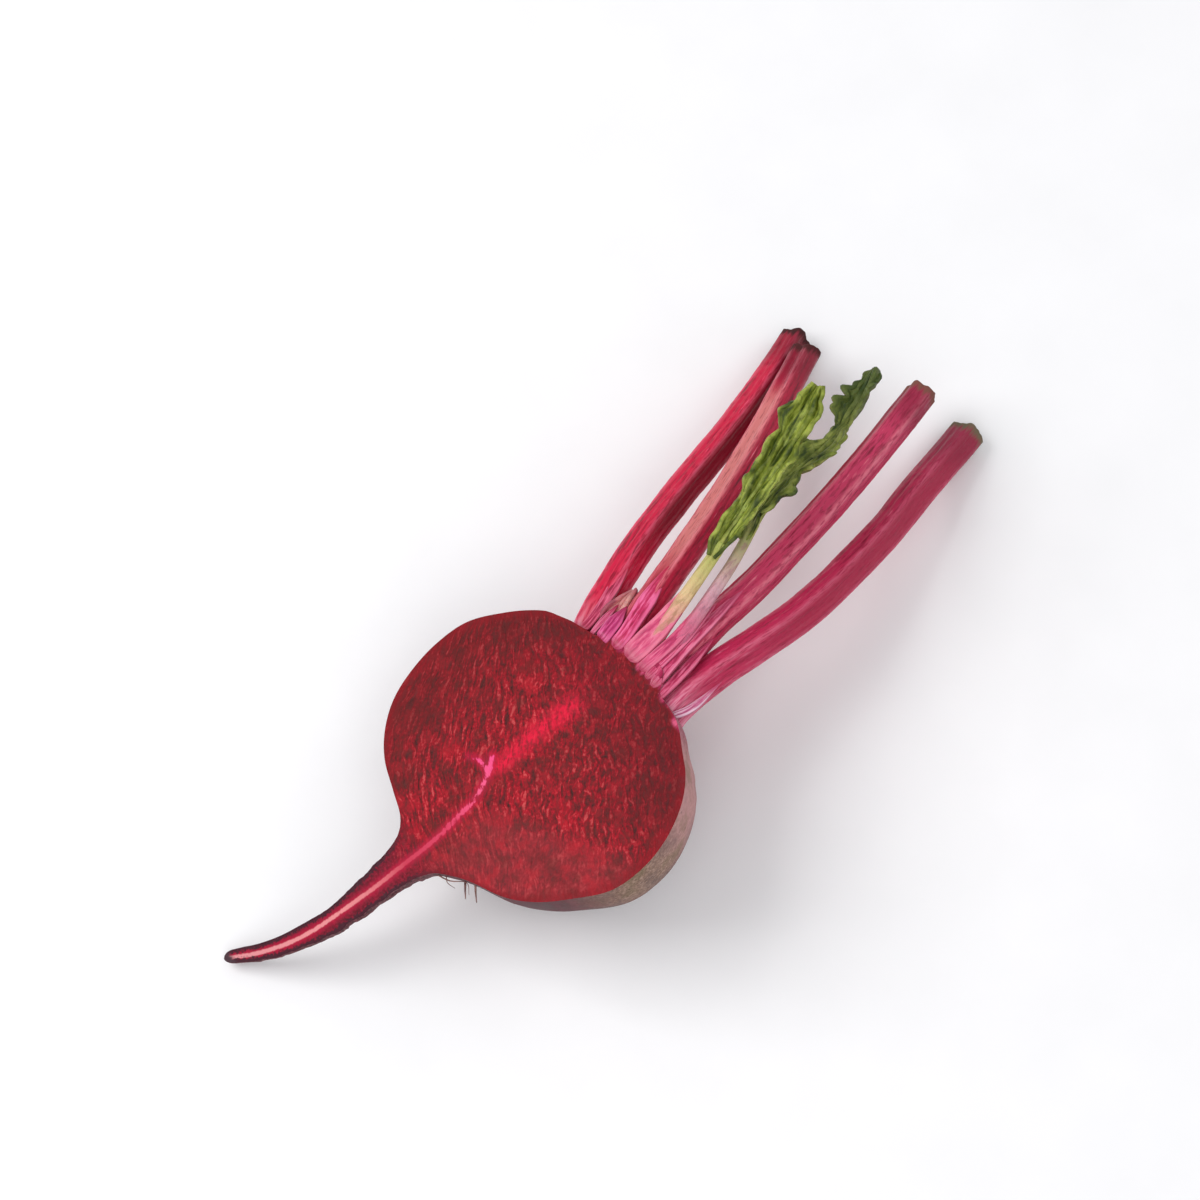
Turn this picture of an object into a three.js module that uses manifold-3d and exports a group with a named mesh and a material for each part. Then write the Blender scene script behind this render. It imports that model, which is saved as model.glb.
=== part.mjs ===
// A beetroot cut in half lengthwise, lying on its round back with the cut face up.
// The half root, four cut leaf stalks, two young leaves and one dried crown scale are separate solids.
// Millimetres. The pieces are drawn in the root's own frame: x runs from the tail to the crown,
// y across the cut face and z out of it. The group at the end leans that frame and sets it on the floor.

import * as THREE from 'three';
import { mergeVertices } from 'three/addons/utils/BufferGeometryUtils.js';
import Module from 'manifold-3d';

const wasm = await Module();
wasm.setup();

// How the half lies: the crown end is raised and one side is low, as it settles on its back.
const CROWN_RISE = THREE.MathUtils.degToRad(14.8);
const SIDE_DROP = THREE.MathUtils.degToRad(11.54);
const CENTRE_HEIGHT = 34.3;
const REST_SPOT = { x: -2.0, y: -3.55 };

// Clearance between pieces that touch.
const GAP = 0.3;

// Facets of the half root: round the skin, across the cut face, and along its length.
const SKIN_SIDES = 30;
const FACE_SIDES = 6;
const ROWS_PER_STATION = 2;
const SKIN_FULLNESS = 2.4;

// Relief of the skin: swells of the bulb, ripples at the crown, wrinkles on the tail, and where they lie.
const BROAD_SWELL = 0.35;
const NARROW_SWELL = 0.25;
const SWELL_SINK = 0.5;
const SCAR_RELIEF = 0.4;
const WRINKLE_RELIEF = 0.22;
const SCARS_RISE = [16, 24];
const SCARS_FALL = [26, 29];
const TAIL_RISE = [-34, -24];

// The crown's edge is not square to the root's length: x falls by this much for each millimetre of y.
const CROWN_SLANT = 0.07;

// Sections of the root from the crown to the tip of the tail. left and right are the edges of the
// cut face, depth is the thickness below it, drop is how far the face has sunk and lean turns the section.
const ROOT_STATIONS = [
  { x: 33.2, left: 5.5, right: -4.5, depth: 5.0 },
  { x: 32.2, left: 8.0, right: -6.5, depth: 8.0 },
  { x: 30.2, left: 9.8, right: -8.2, depth: 10.5 },
  { x: 28.6, left: 11.5, right: -9.5, depth: 11.5 },
  { x: 27.7, left: 15.5, right: -13.5, depth: 14.0 },
  { x: 26.9, left: 18.8, right: -16.8, depth: 16.8 },
  { x: 25.0, left: 22.0, right: -21.4, depth: 20.4 },
  { x: 21.8, left: 26.4, right: -27.4, depth: 25.4 },
  { x: 16.5, left: 31.2, right: -32.3, depth: 31.0 },
  { x: 9.0, left: 36.0, right: -35.8, depth: 34.8 },
  { x: 1.0, left: 37.4, right: -37.0, depth: 35.8 },
  { x: -7.0, left: 36.8, right: -35.7, depth: 34.6 },
  { x: -14.5, left: 34.6, right: -30.8, depth: 31.8 },
  { x: -20.5, left: 30.5, right: -25.8, depth: 27.0 },
  { x: -25.0, left: 25.0, right: -19.8, depth: 21.0 },
  { x: -28.2, left: 17.6, right: -11.9, depth: 14.6 },
  { x: -30.6, left: 12.0, right: -7.4, depth: 10.0 },
  { x: -34.0, left: 8.9, right: -3.2, depth: 7.0 },
  { x: -40.0, left: 7.8, right: -0.9, depth: 5.0, drop: 0.3 },
  { x: -48.6, left: 8.0, right: 0.9, depth: 4.1, drop: 1.2, lean: 0.1 },
  { x: -56.8, left: 8.9, right: 2.9, depth: 3.5, drop: 2.6, lean: 0.27 },
  { x: -63.3, left: 11.2, right: 5.8, depth: 3.1, drop: 4.1, lean: 0.42 },
  { x: -69.2, left: 13.7, right: 9.1, depth: 2.7, drop: 5.6, lean: 0.52 },
  { x: -74.1, left: 16.5, right: 12.5, depth: 2.4, drop: 6.7, lean: 0.62 },
  { x: -78.0, left: 19.3, right: 15.9, depth: 2.1, drop: 7.3, lean: 0.68 },
  { x: -81.2, left: 21.5, right: 18.7, depth: 1.8, drop: 7.6, lean: 0.72 },
];

// Fine side roots where the bulb narrows to the tail: foot, tip, and the foot's radius.
const ROOTLETS = [
  { foot: [-26.9, -10.0, -2.5], tip: [-30.7, -14.0, -4.4], radius: 0.45 },
  { foot: [-28.2, -8.0, -2.5], tip: [-32.0, -11.6, -4.2], radius: 0.45 },
];
const ROOTLET_TIP_RADIUS = 0.3;

// Cut leaf stalks: route from inside the crown to the cut end, half width and half height of the
// section, how far the channel on the upper side is turned, how deep it is, and how torn the end is.
const STALK_SIDES = 20;
const STALK_ROWS = 22;
const STALK_RIDGES = 5;
const RIDGE_RELIEF = 0.055;
const CHANNEL_SPREAD = 0.55;
const FLARE_LENGTH = 0.07;
const END_HOLLOW = 0.9;
const PETIOLES = [
  {
    name: 'petiole_1',
    color: 0xa81c45,
    route: [[20, 13, -7], [29.6, 18.3, -6.8], [46, 26.5, -12.2], [62.9, 35.2, -22.3],
      [82.8, 44.5, -34.1], [97.5, 52.3, -43.0], [109.2, 59.2, -50.1]],
    halfWidth: 4.1,
    halfHeight: 3.5,
    flare: 0.12,
    channelTurn: 1.1,
    channelDepth: 0.16,
    ragged: 1.0,
  },
  {
    name: 'petiole_2',
    color: 0xb5405c,
    route: [[24, 2.5, -7], [34.4, 8.7, -4.9], [43.9, 13.2, -8.1], [61.9, 22.4, -17.5],
      [84.6, 35.6, -29.9], [108.1, 50.9, -42.8]],
    halfWidth: 3.5,
    halfHeight: 3.2,
    flare: 0.3,
    channelTurn: -0.35,
    channelDepth: 0.34,
    ragged: 1.0,
  },
  {
    name: 'petiole_3',
    color: 0xb23a64,
    route: [[24, -5.5, -8], [31.9, -3.9, -7.3], [45.8, 0.5, -11.9], [64.1, 5, -20.5],
      [93, 14.5, -34.6], [120.6, 25.3, -47.7]],
    halfWidth: 3.9,
    halfHeight: 3.4,
    flare: 0.2,
    channelTurn: -0.95,
    channelDepth: 0.24,
    ragged: 0.3,
  },
  {
    name: 'petiole_4',
    color: 0xab2f58,
    route: [[21, -12, -7.5], [29.3, -10.8, -6.4], [41.4, -8.9, -12.3], [65, -5.3, -27.7],
      [88.7, 2.3, -42.4], [103.1, 8.5, -51], [122.7, 16.7, -63]],
    halfWidth: 4.2,
    halfHeight: 3.6,
    flare: 0.25,
    channelTurn: 0.9,
    channelDepth: 0.14,
    ragged: 1.2,
  },
];

// Young leaves: a thin stalk that runs on as the thick midrib of a narrow, folded and crinkled blade.
// leftMargin and rightMargin are blade widths, evenly spaced from the blade's foot to its tip.
const BLADE_THICKNESS = 0.8;
const BLADE_COLUMNS = 8;
const MIDRIB_SPREAD = 0.2;
const LEAF_STALK_SIDES = 8;
const LEAF_STALK_ROWS = 14;
const LEAF_STALK_OVERLAP = 0.05;
const YOUNG_LEAVES = [
  {
    name: 'young_leaf_1',
    color: 0x8aa03a,
    route: [[26, -0.5, -4.5], [35.5, 1.9, -2.6], [54.7, 7.1, -3.5], [67.8, 10.9, -4.3],
      [85.8, 16.5, -5.1], [101, 22.3, -5.5]],
    footRadius: 1.9,
    tipRadius: 0.6,
    bladeStart: 0.42,
    leftMargin: [1.2, 3.4, 3.0, 4.4, 3.8, 4.8, 4.4, 2.0],
    rightMargin: [1.0, 2.6, 4.0, 4.4, 5.4, 5.2, 5.6, 2.0],
    fold: 0.75,
    roll: 0.25,
    ruffle: 1.1,
    waves: 4.5,
    rows: 24,
  },
  {
    name: 'young_leaf_2',
    color: 0x6f8a35,
    route: [[26, -4.5, -4.6], [36.1, -2.5, -3.7], [58.7, 5, -7.4], [77, 12.3, -10.2],
      [94.2, 14.7, -14.9], [107.4, 18.9, -17.3], [114, 21.9, -18.1]],
    footRadius: 1.7,
    tipRadius: 0.6,
    bladeStart: 0.45,
    leftMargin: [1.0, 3.4, 4.6, 5.0, 4.6, 2.8, 3.6, 2.8, 1.4],
    rightMargin: [1.0, 3.0, 4.6, 5.0, 5.4, 6.0, 3.4, 3.8, 1.6],
    fold: 0.55,
    roll: -0.2,
    ruffle: 1.3,
    waves: 5.5,
    rows: 26,
  },
];

// A torn, dried scale that stands at the crown between the first two stalks.
const SCALE = {
  name: 'crown_scale',
  color: 0xc2607c,
  route: [[24, 11, -6], [31.5, 13.6, -4.6], [36.2, 15.0, -5.0], [40.4, 16.6, -7.2]],
  footRadius: 0.7,
  tipRadius: 0.5,
  bladeStart: 0.12,
  leftMargin: [2.6, 2.8, 2.0, 0.9],
  rightMargin: [2.6, 2.6, 1.4, 0.5],
  fold: 0.5,
  roll: 0.1,
  ruffle: 0.3,
  waves: 1.5,
  rows: 8,
};

const POSITION_SIZE = 3;
const FACE_NORMAL = new THREE.Vector3(0, 0, 1);

const vectors = (points) => points.map((point) => new THREE.Vector3(...point));

const splineOf = (points) => new THREE.CatmullRomCurve3(points, false, 'catmullrom', 0.5);

function geometryFrom(points, triangles) {
  const geometry = new THREE.BufferGeometry();
  geometry.setFromPoints(points);
  geometry.setIndex(triangles);
  return geometry;
}

function solidOf(geometry) {
  const bare = geometry.clone();
  bare.deleteAttribute('normal');
  bare.deleteAttribute('uv');
  const merged = mergeVertices(bare);
  return new wasm.Manifold(new wasm.Mesh({
    numProp: POSITION_SIZE,
    vertProperties: new Float32Array(merged.attributes.position.array),
    triVerts: new Uint32Array(merged.index.array),
  }));
}

function geometryOf(solid) {
  const { vertProperties, triVerts } = solid.getMesh();
  const geometry = new THREE.BufferGeometry();
  geometry.setAttribute('position', new THREE.BufferAttribute(vertProperties, POSITION_SIZE));
  geometry.setIndex(new THREE.BufferAttribute(triVerts, 1));
  geometry.computeVertexNormals();
  return geometry;
}

// Cuts can leave loose crumbs behind, so only the largest body is kept.
function largestBody(solid) {
  const bodies = solid.decompose();
  return bodies.reduce((best, body) => (body.volume() > best.volume() ? body : best));
}

// Joins equal rings of points into a closed skin, with a fan of triangles over each end.
function closedLoft(rings, endCentres) {
  const sides = rings[0].length;
  const points = rings.flat();
  const triangles = [];
  for (let row = 0; row < rings.length - 1; row += 1) {
    for (let side = 0; side < sides; side += 1) {
      const here = row * sides + side;
      const beside = row * sides + ((side + 1) % sides);
      triangles.push(here, here + sides, beside, beside, here + sides, beside + sides);
    }
  }
  const lastRow = (rings.length - 1) * sides;
  const firstCentre = points.push(endCentres[0]) - 1;
  const lastCentre = points.push(endCentres[1]) - 1;
  for (let side = 0; side < sides; side += 1) {
    const next = (side + 1) % sides;
    triangles.push(firstCentre, side, next);
    triangles.push(lastCentre, lastRow + next, lastRow + side);
  }
  return geometryFrom(points, triangles);
}

function centreOf(ring) {
  const sum = ring.reduce((total, point) => total.add(point), new THREE.Vector3());
  return sum.divideScalar(ring.length);
}

// Low swells, ripples of old leaf scars round the crown and wrinkles round the tail. angle runs from
// the right edge of the cut face, under the root, to the left edge, and the relief fades out at both.
function skinRelief(x, angle) {
  const crown = THREE.MathUtils.smoothstep(x, ...SCARS_RISE) - THREE.MathUtils.smoothstep(x, ...SCARS_FALL);
  const tail = 1 - THREE.MathUtils.smoothstep(x, ...TAIL_RISE);
  const broad = BROAD_SWELL * Math.sin(2 * angle + 0.09 * x + 1.1);
  const narrow = NARROW_SWELL * Math.sin(5 * angle - 0.13 * x);
  const scars = SCAR_RELIEF * crown * Math.cos(1.9 * x + 0.8 * Math.sin(4 * angle));
  const wrinkles = WRINKLE_RELIEF * tail * Math.cos(2.3 * x + 1.3 * Math.sin(3 * angle));
  return ((broad + narrow - SWELL_SINK) * (1 - tail) + scars + wrinkles) * Math.sin(angle);
}

// One section of the half root. grow makes it larger all round, for cutting clearance.
function rootRing(place, spread, grow) {
  const [x, left, right] = place.toArray();
  const [depth, drop, lean] = spread.toArray();
  const half = (left - right) / 2 + grow;
  const middle = (left + right) / 2;
  const slant = CROWN_SLANT * THREE.MathUtils.smoothstep(x, 23, 28);
  const pointAt = (across, height) => {
    const y = middle + across * Math.cos(lean);
    return new THREE.Vector3(x + across * Math.sin(lean) - slant * y, y, height - drop);
  };
  const ring = [];
  for (let side = 0; side <= SKIN_SIDES; side += 1) {
    const angle = (Math.PI * side) / SKIN_SIDES;
    const swell = skinRelief(x, angle);
    const across = -Math.sign(Math.cos(angle)) * Math.abs(Math.cos(angle)) ** (2 / SKIN_FULLNESS);
    const down = Math.sin(angle) ** (2 / SKIN_FULLNESS);
    ring.push(pointAt(across * (half + swell), grow - down * (depth + 2 * grow + swell)));
  }
  for (let step = 1; step < FACE_SIDES; step += 1) {
    ring.push(pointAt(half - (2 * half * step) / FACE_SIDES, grow));
  }
  return ring;
}

function rootSolid(grow) {
  const places = splineOf(ROOT_STATIONS.map(({ x, left, right }) => new THREE.Vector3(x, left, right)));
  const spreads = splineOf(ROOT_STATIONS.map(
    ({ depth, drop = 0, lean = 0 }) => new THREE.Vector3(depth, drop, lean),
  ));
  const rows = ROWS_PER_STATION * (ROOT_STATIONS.length - 1);
  const rings = [];
  for (let row = 0; row <= rows; row += 1) {
    rings.push(rootRing(places.getPoint(row / rows), spreads.getPoint(row / rows), grow));
  }
  return solidOf(closedLoft(rings, [centreOf(rings[0]), centreOf(rings[rows])]));
}

function rootletSolid({ foot, tip, radius }) {
  const [start, end] = vectors([foot, tip]);
  const along = end.clone().sub(start);
  const cone = new THREE.CylinderGeometry(ROOTLET_TIP_RADIUS, radius, along.length(), 6);
  cone.applyQuaternion(new THREE.Quaternion().setFromUnitVectors(
    new THREE.Vector3(0, 1, 0),
    along.clone().normalize(),
  ));
  cone.translate(...start.add(end).divideScalar(2).toArray());
  return solidOf(cone);
}

// The place and the three directions of a section at a fraction t of a route's length.
function sectionFrame(curve, t, turn = 0) {
  const forward = curve.getTangentAt(t);
  const across = new THREE.Vector3().crossVectors(FACE_NORMAL, forward).normalize();
  const lift = new THREE.Vector3().crossVectors(forward, across);
  across.applyAxisAngle(forward, turn);
  lift.applyAxisAngle(forward, turn);
  return { centre: curve.getPointAt(t), forward, across, lift };
}

// A stalk's section: an oval with a channel along one side and a few long ridges.
function stalkRadius(angle, stalk) {
  const channelAngle = Math.PI / 2 + stalk.channelTurn;
  const away = Math.atan2(Math.sin(angle - channelAngle), Math.cos(angle - channelAngle));
  const channel = stalk.channelDepth * Math.exp(-((away / CHANNEL_SPREAD) ** 2));
  return 1 - channel + RIDGE_RELIEF * Math.cos(STALK_RIDGES * away + Math.PI);
}

function stalkRing(curve, t, stalk, grow) {
  const { centre, forward, across, lift } = sectionFrame(curve, t);
  const flare = 1 + stalk.flare * Math.exp(-t / FLARE_LENGTH);
  const torn = t === 1 ? stalk.ragged : 0;
  const ring = [];
  for (let side = 0; side < STALK_SIDES; side += 1) {
    const angle = (-2 * Math.PI * side) / STALK_SIDES;
    const radius = flare * stalkRadius(angle, stalk);
    ring.push(centre.clone()
      .addScaledVector(across, (radius * stalk.halfWidth + grow) * Math.cos(angle))
      .addScaledVector(lift, (radius * stalk.halfHeight + grow) * Math.sin(angle))
      .addScaledVector(forward, torn * Math.sin(3 * angle + stalk.channelTurn)));
  }
  return ring;
}

function petioleSolid(stalk, grow) {
  const curve = splineOf(vectors(stalk.route));
  const rings = [];
  for (let row = 0; row <= STALK_ROWS; row += 1) {
    rings.push(stalkRing(curve, row / STALK_ROWS, stalk, grow));
  }
  const cutEnd = curve.getPointAt(1).addScaledVector(curve.getTangentAt(1), grow - END_HOLLOW);
  return solidOf(closedLoft(rings, [curve.getPointAt(0), cutEnd]));
}

function ribRadius(leaf, t) {
  return THREE.MathUtils.lerp(leaf.footRadius, leaf.tipRadius, t);
}

// The thin round stalk of a leaf. Its end is sunk in the midrib at the blade's foot.
function leafStalkSolid(leaf, grow) {
  const curve = splineOf(vectors(leaf.route));
  const end = leaf.bladeStart + LEAF_STALK_OVERLAP;
  const rings = [];
  for (let row = 0; row <= LEAF_STALK_ROWS; row += 1) {
    const t = (end * row) / LEAF_STALK_ROWS;
    const { centre, across, lift } = sectionFrame(curve, t);
    const radius = ribRadius(leaf, t) + grow;
    const ring = [];
    for (let side = 0; side < LEAF_STALK_SIDES; side += 1) {
      const angle = (-2 * Math.PI * side) / LEAF_STALK_SIDES;
      ring.push(centre.clone()
        .addScaledVector(across, radius * Math.cos(angle))
        .addScaledVector(lift, radius * Math.sin(angle)));
    }
    rings.push(ring);
  }
  return solidOf(closedLoft(rings, [curve.getPointAt(0), curve.getPointAt(end)]));
}

// Width of one half of the blade at a fraction along it, through the leaf's list of widths.
function marginWidth(widths, fraction) {
  const curve = new THREE.SplineCurve(widths.map((width, index) => new THREE.Vector2(index, width)));
  return curve.getPoint(fraction).y;
}

// A point in the middle of the blade's thickness. side runs from -1 at one margin to 1 at the other.
function bladePoint(curve, leaf, fraction, side) {
  const t = THREE.MathUtils.lerp(leaf.bladeStart, 1, fraction);
  const { centre, across, lift } = sectionFrame(curve, t, leaf.roll);
  const widths = side < 0 ? leaf.leftMargin : leaf.rightMargin;
  const reach = Math.abs(side) * marginWidth(widths, fraction);
  const wave = Math.sin(2 * Math.PI * leaf.waves * fraction + (side < 0 ? 0 : 2));
  const raise = reach * Math.sin(leaf.fold) + leaf.ruffle * side * side * wave;
  return centre
    .addScaledVector(across, -Math.sign(side) * reach * Math.cos(leaf.fold))
    .addScaledVector(lift, raise);
}

// The blade is a grid of points given thickness along its normals, with the two faces' triangles alike.
function bladeSolid(leaf) {
  const curve = splineOf(vectors(leaf.route));
  const middle = [];
  for (let row = 0; row <= leaf.rows; row += 1) {
    const line = [];
    for (let column = 0; column <= BLADE_COLUMNS; column += 1) {
      line.push(bladePoint(curve, leaf, row / leaf.rows, (2 * column) / BLADE_COLUMNS - 1));
    }
    middle.push(line);
  }
  const clampRow = (row) => Math.min(Math.max(row, 0), leaf.rows);
  const clampColumn = (column) => Math.min(Math.max(column, 0), BLADE_COLUMNS);
  const normalAt = (row, column) => {
    const along = middle[clampRow(row + 1)][column].clone().sub(middle[clampRow(row - 1)][column]);
    const over = middle[row][clampColumn(column + 1)].clone().sub(middle[row][clampColumn(column - 1)]);
    return along.cross(over).normalize();
  };
  const halfThickness = (row, column) => {
    const rib = ribRadius(leaf, THREE.MathUtils.lerp(leaf.bladeStart, 1, row / leaf.rows));
    const side = (2 * column) / BLADE_COLUMNS - 1;
    return Math.max(BLADE_THICKNESS / 2, rib * Math.exp(-((side / MIDRIB_SPREAD) ** 2)));
  };
  const faceOf = (sign) => middle.flatMap((line, row) => line.map(
    (point, column) => point.clone()
      .addScaledVector(normalAt(row, column), sign * halfThickness(row, column)),
  ));
  const upper = faceOf(1);
  const lower = faceOf(-1);
  const stride = BLADE_COLUMNS + 1;
  const triangles = [];
  for (let row = 0; row < leaf.rows; row += 1) {
    for (let column = 0; column < BLADE_COLUMNS; column += 1) {
      const here = row * stride + column;
      const under = here + upper.length;
      triangles.push(here, here + stride, here + 1, here + 1, here + stride, here + stride + 1);
      triangles.push(under, under + 1, under + stride, under + 1, under + stride + 1, under + stride);
    }
  }
  const closeRim = (from, to) => {
    const fromUnder = from + upper.length;
    const toUnder = to + upper.length;
    triangles.push(from, to, fromUnder, to, toUnder, fromUnder);
  };
  for (let column = 0; column < BLADE_COLUMNS; column += 1) {
    closeRim(column, column + 1);
    closeRim(leaf.rows * stride + column + 1, leaf.rows * stride + column);
  }
  for (let row = 0; row < leaf.rows; row += 1) {
    closeRim((row + 1) * stride, row * stride);
    closeRim(row * stride + BLADE_COLUMNS, (row + 1) * stride + BLADE_COLUMNS);
  }
  return solidOf(geometryFrom([...upper, ...lower], triangles));
}

const leafSolid = (leaf) => leafStalkSolid(leaf, 0).add(bladeSolid(leaf));

const beetroot = new THREE.Group();
beetroot.rotation.set(-SIDE_DROP, -CROWN_RISE, 0, 'YXZ');
beetroot.position.set(REST_SPOT.x, REST_SPOT.y, CENTRE_HEIGHT);
beetroot.updateMatrixWorld(true);

// The floor, seen from the root's own frame. What would reach through it is cut flat.
const FLOOR_SIZE = 500;
const floorGeometry = new THREE.BoxGeometry(FLOOR_SIZE, FLOOR_SIZE, FLOOR_SIZE);
floorGeometry.translate(0, 0, -FLOOR_SIZE / 2);
floorGeometry.applyMatrix4(beetroot.matrixWorld.clone().invert());
const floor = solidOf(floorGeometry);

function addPiece(name, color, solid) {
  const material = new THREE.MeshStandardMaterial({ color, roughness: 0.55, metalness: 0 });
  const mesh = new THREE.Mesh(geometryOf(largestBody(solid.subtract(floor))), material);
  mesh.name = name;
  beetroot.add(mesh);
}

const root = ROOTLETS.reduce((solid, rootlet) => solid.add(rootletSolid(rootlet)), rootSolid(0));
addPiece('half_root', 0x8e1626, root);

// Each stalk and leaf is cut back from the root and from the pieces that were set in before it.
let occupied = rootSolid(GAP);
for (const stalk of PETIOLES) {
  addPiece(stalk.name, stalk.color, petioleSolid(stalk, 0).subtract(occupied));
  occupied = occupied.add(petioleSolid(stalk, GAP));
}
for (const leaf of [...YOUNG_LEAVES, SCALE]) {
  addPiece(leaf.name, leaf.color, leafSolid(leaf).subtract(occupied));
  occupied = occupied.add(leafStalkSolid(leaf, GAP));
}

export default beetroot;
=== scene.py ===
# %% [markdown]
# # A halved beetroot
# A beetroot cut lengthwise lies on its round back. The cut face looks up, the tail reaches to one side
# and four cut stalks and two young leaves reach to the other.
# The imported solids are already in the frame, so every piece here is built where its solid lies.

# %% Load the frame
import math

import bpy
import numpy as np
from mathutils import Matrix, Vector, noise


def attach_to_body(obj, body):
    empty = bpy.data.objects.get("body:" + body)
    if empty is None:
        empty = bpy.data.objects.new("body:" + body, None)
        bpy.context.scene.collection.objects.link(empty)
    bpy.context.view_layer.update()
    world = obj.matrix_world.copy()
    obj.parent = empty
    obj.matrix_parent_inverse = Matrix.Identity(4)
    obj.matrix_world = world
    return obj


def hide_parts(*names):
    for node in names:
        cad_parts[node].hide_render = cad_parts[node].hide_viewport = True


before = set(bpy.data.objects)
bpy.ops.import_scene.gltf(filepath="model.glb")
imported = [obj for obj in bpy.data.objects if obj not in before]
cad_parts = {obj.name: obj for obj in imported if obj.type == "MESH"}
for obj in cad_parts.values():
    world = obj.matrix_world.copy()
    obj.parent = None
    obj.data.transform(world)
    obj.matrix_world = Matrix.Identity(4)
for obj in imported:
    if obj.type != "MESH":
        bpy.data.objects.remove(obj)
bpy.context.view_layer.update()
print("nodes:", sorted(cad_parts))

# %% [markdown]
# ## The root's own frame
# A root is easiest to draw along its own length: x from tail to crown, y across the cut face and z out
# of it, in millimetres. On the floor it leans, so one function turns those places into the scene's
# metres. Drawing in a natural frame and turning once is simpler than drawing a leaning shape.

# %% Lean the root's frame onto the floor
MM = 0.001
CROWN_RISE = math.radians(14.8)
SIDE_DROP = math.radians(11.54)
CENTRE = np.array([-2.0, -3.55, 34.3])
LEAN = np.array(Matrix.Rotation(-CROWN_RISE, 3, "Y") @ Matrix.Rotation(-SIDE_DROP, 3, "X"))


def to_scene(points):
    placed = np.asarray(points) @ LEAN.T + CENTRE
    placed[:, 2] = np.maximum(placed[:, 2], 0.0)
    return placed * MM


print("face normal in the scene:", np.round(LEAN[:, 2], 3))

# %% [markdown]
# ## Camera
# The picture was taken from a distance with a long lens, looking steeply down. The camera is placed
# from the middle of the cut face, along its own three directions, so the view can be read as
# "so far right, so far up, so far back".

# %% Place the camera
VIEW_AZIMUTH = math.radians(-40.85)
VIEW_ELEVATION = math.radians(68.0)
VIEW_RIGHT_MM = 14.13
VIEW_UP_MM = 34.13
VIEW_BACK_MM = 869.57
LENS_MM = 120.0
SENSOR_MM = 36.0
CLIP_END_M = 20.0
back = Vector((
    math.sin(VIEW_AZIMUTH) * math.cos(VIEW_ELEVATION),
    -math.cos(VIEW_AZIMUTH) * math.cos(VIEW_ELEVATION),
    math.sin(VIEW_ELEVATION),
))
right = Vector((math.cos(VIEW_AZIMUTH), math.sin(VIEW_AZIMUTH), 0.0))
up = back.cross(right)
camera_data = bpy.data.cameras.new("camera")
camera_data.lens = LENS_MM
camera_data.sensor_width = SENSOR_MM
camera_data.clip_end = CLIP_END_M
camera = bpy.data.objects.new("camera", camera_data)
bpy.context.collection.objects.link(camera)
turn = Matrix((right, up, back)).transposed().to_4x4()
place = (Vector(CENTRE) + VIEW_RIGHT_MM * right + VIEW_UP_MM * up + VIEW_BACK_MM * back) * MM
camera.matrix_world = Matrix.Translation(place) @ turn
bpy.context.scene.camera = camera
print("camera at", [round(value, 3) for value in camera.location])

# %% [markdown]
# ## Light and floor
# The root lies on a white table under broad soft light. A sun lamp would give a hard shadow, so three
# area lamps are used. The key lamp stands beyond the root, to the left of the picture, a wider one
# near the camera fills the cut face, and a small low one on the right lights the stalks' sides. A pale
# world fills the rest.

# %% Light the scene
def colour(red, green, blue):
    """The linear colour that Blender works with, from red, green and blue between 0 and 255."""
    channels = [value / 255 for value in (red, green, blue)]
    linear = [((c + 0.055) / 1.055) ** 2.4 if c > 0.04045 else c / 12.92 for c in channels]
    return (*linear, 1.0)


def add_lamp(name, place, power, size):
    data = bpy.data.lights.new(name, "AREA")
    data.energy = power
    data.size = size
    lamp = bpy.data.objects.new(name, data)
    lamp.location = place
    lamp.rotation_euler = Vector(place).to_track_quat("Z", "Y").to_euler()
    bpy.context.collection.objects.link(lamp)


WORLD_STRENGTH = 0.5
world = bpy.data.worlds.new("soft_studio")
world.use_nodes = True
background = world.node_tree.nodes["Background"]
background.inputs["Color"].default_value = colour(252, 252, 255)
background.inputs["Strength"].default_value = WORLD_STRENGTH
bpy.context.scene.world = world
bpy.context.scene.view_settings.view_transform = "Standard"
add_lamp("key", place=(-0.45, 0.55, 0.85), power=7.0, size=0.7)
add_lamp("front", place=(-0.35, -0.55, 0.95), power=3.4, size=0.9)
add_lamp("side", place=(0.75, -0.15, 0.45), power=0.8, size=0.4)
print("lamps:", [lamp.name for lamp in bpy.data.lights])

# %% [markdown]
# ## Finishes
# Every finish is a small graph of nodes. Such a graph could be wired by hand in the shader editor, but
# written out it can be read and corrected like the shapes. A helper keeps it short: it makes a node,
# sets its inputs and joins whatever is a socket already.

# %% Write the helper for node finishes
# how far red, green and blue light spread inside wet tissue, against each other
SCATTER_REACH = (1.0, 0.35, 0.3)


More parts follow.
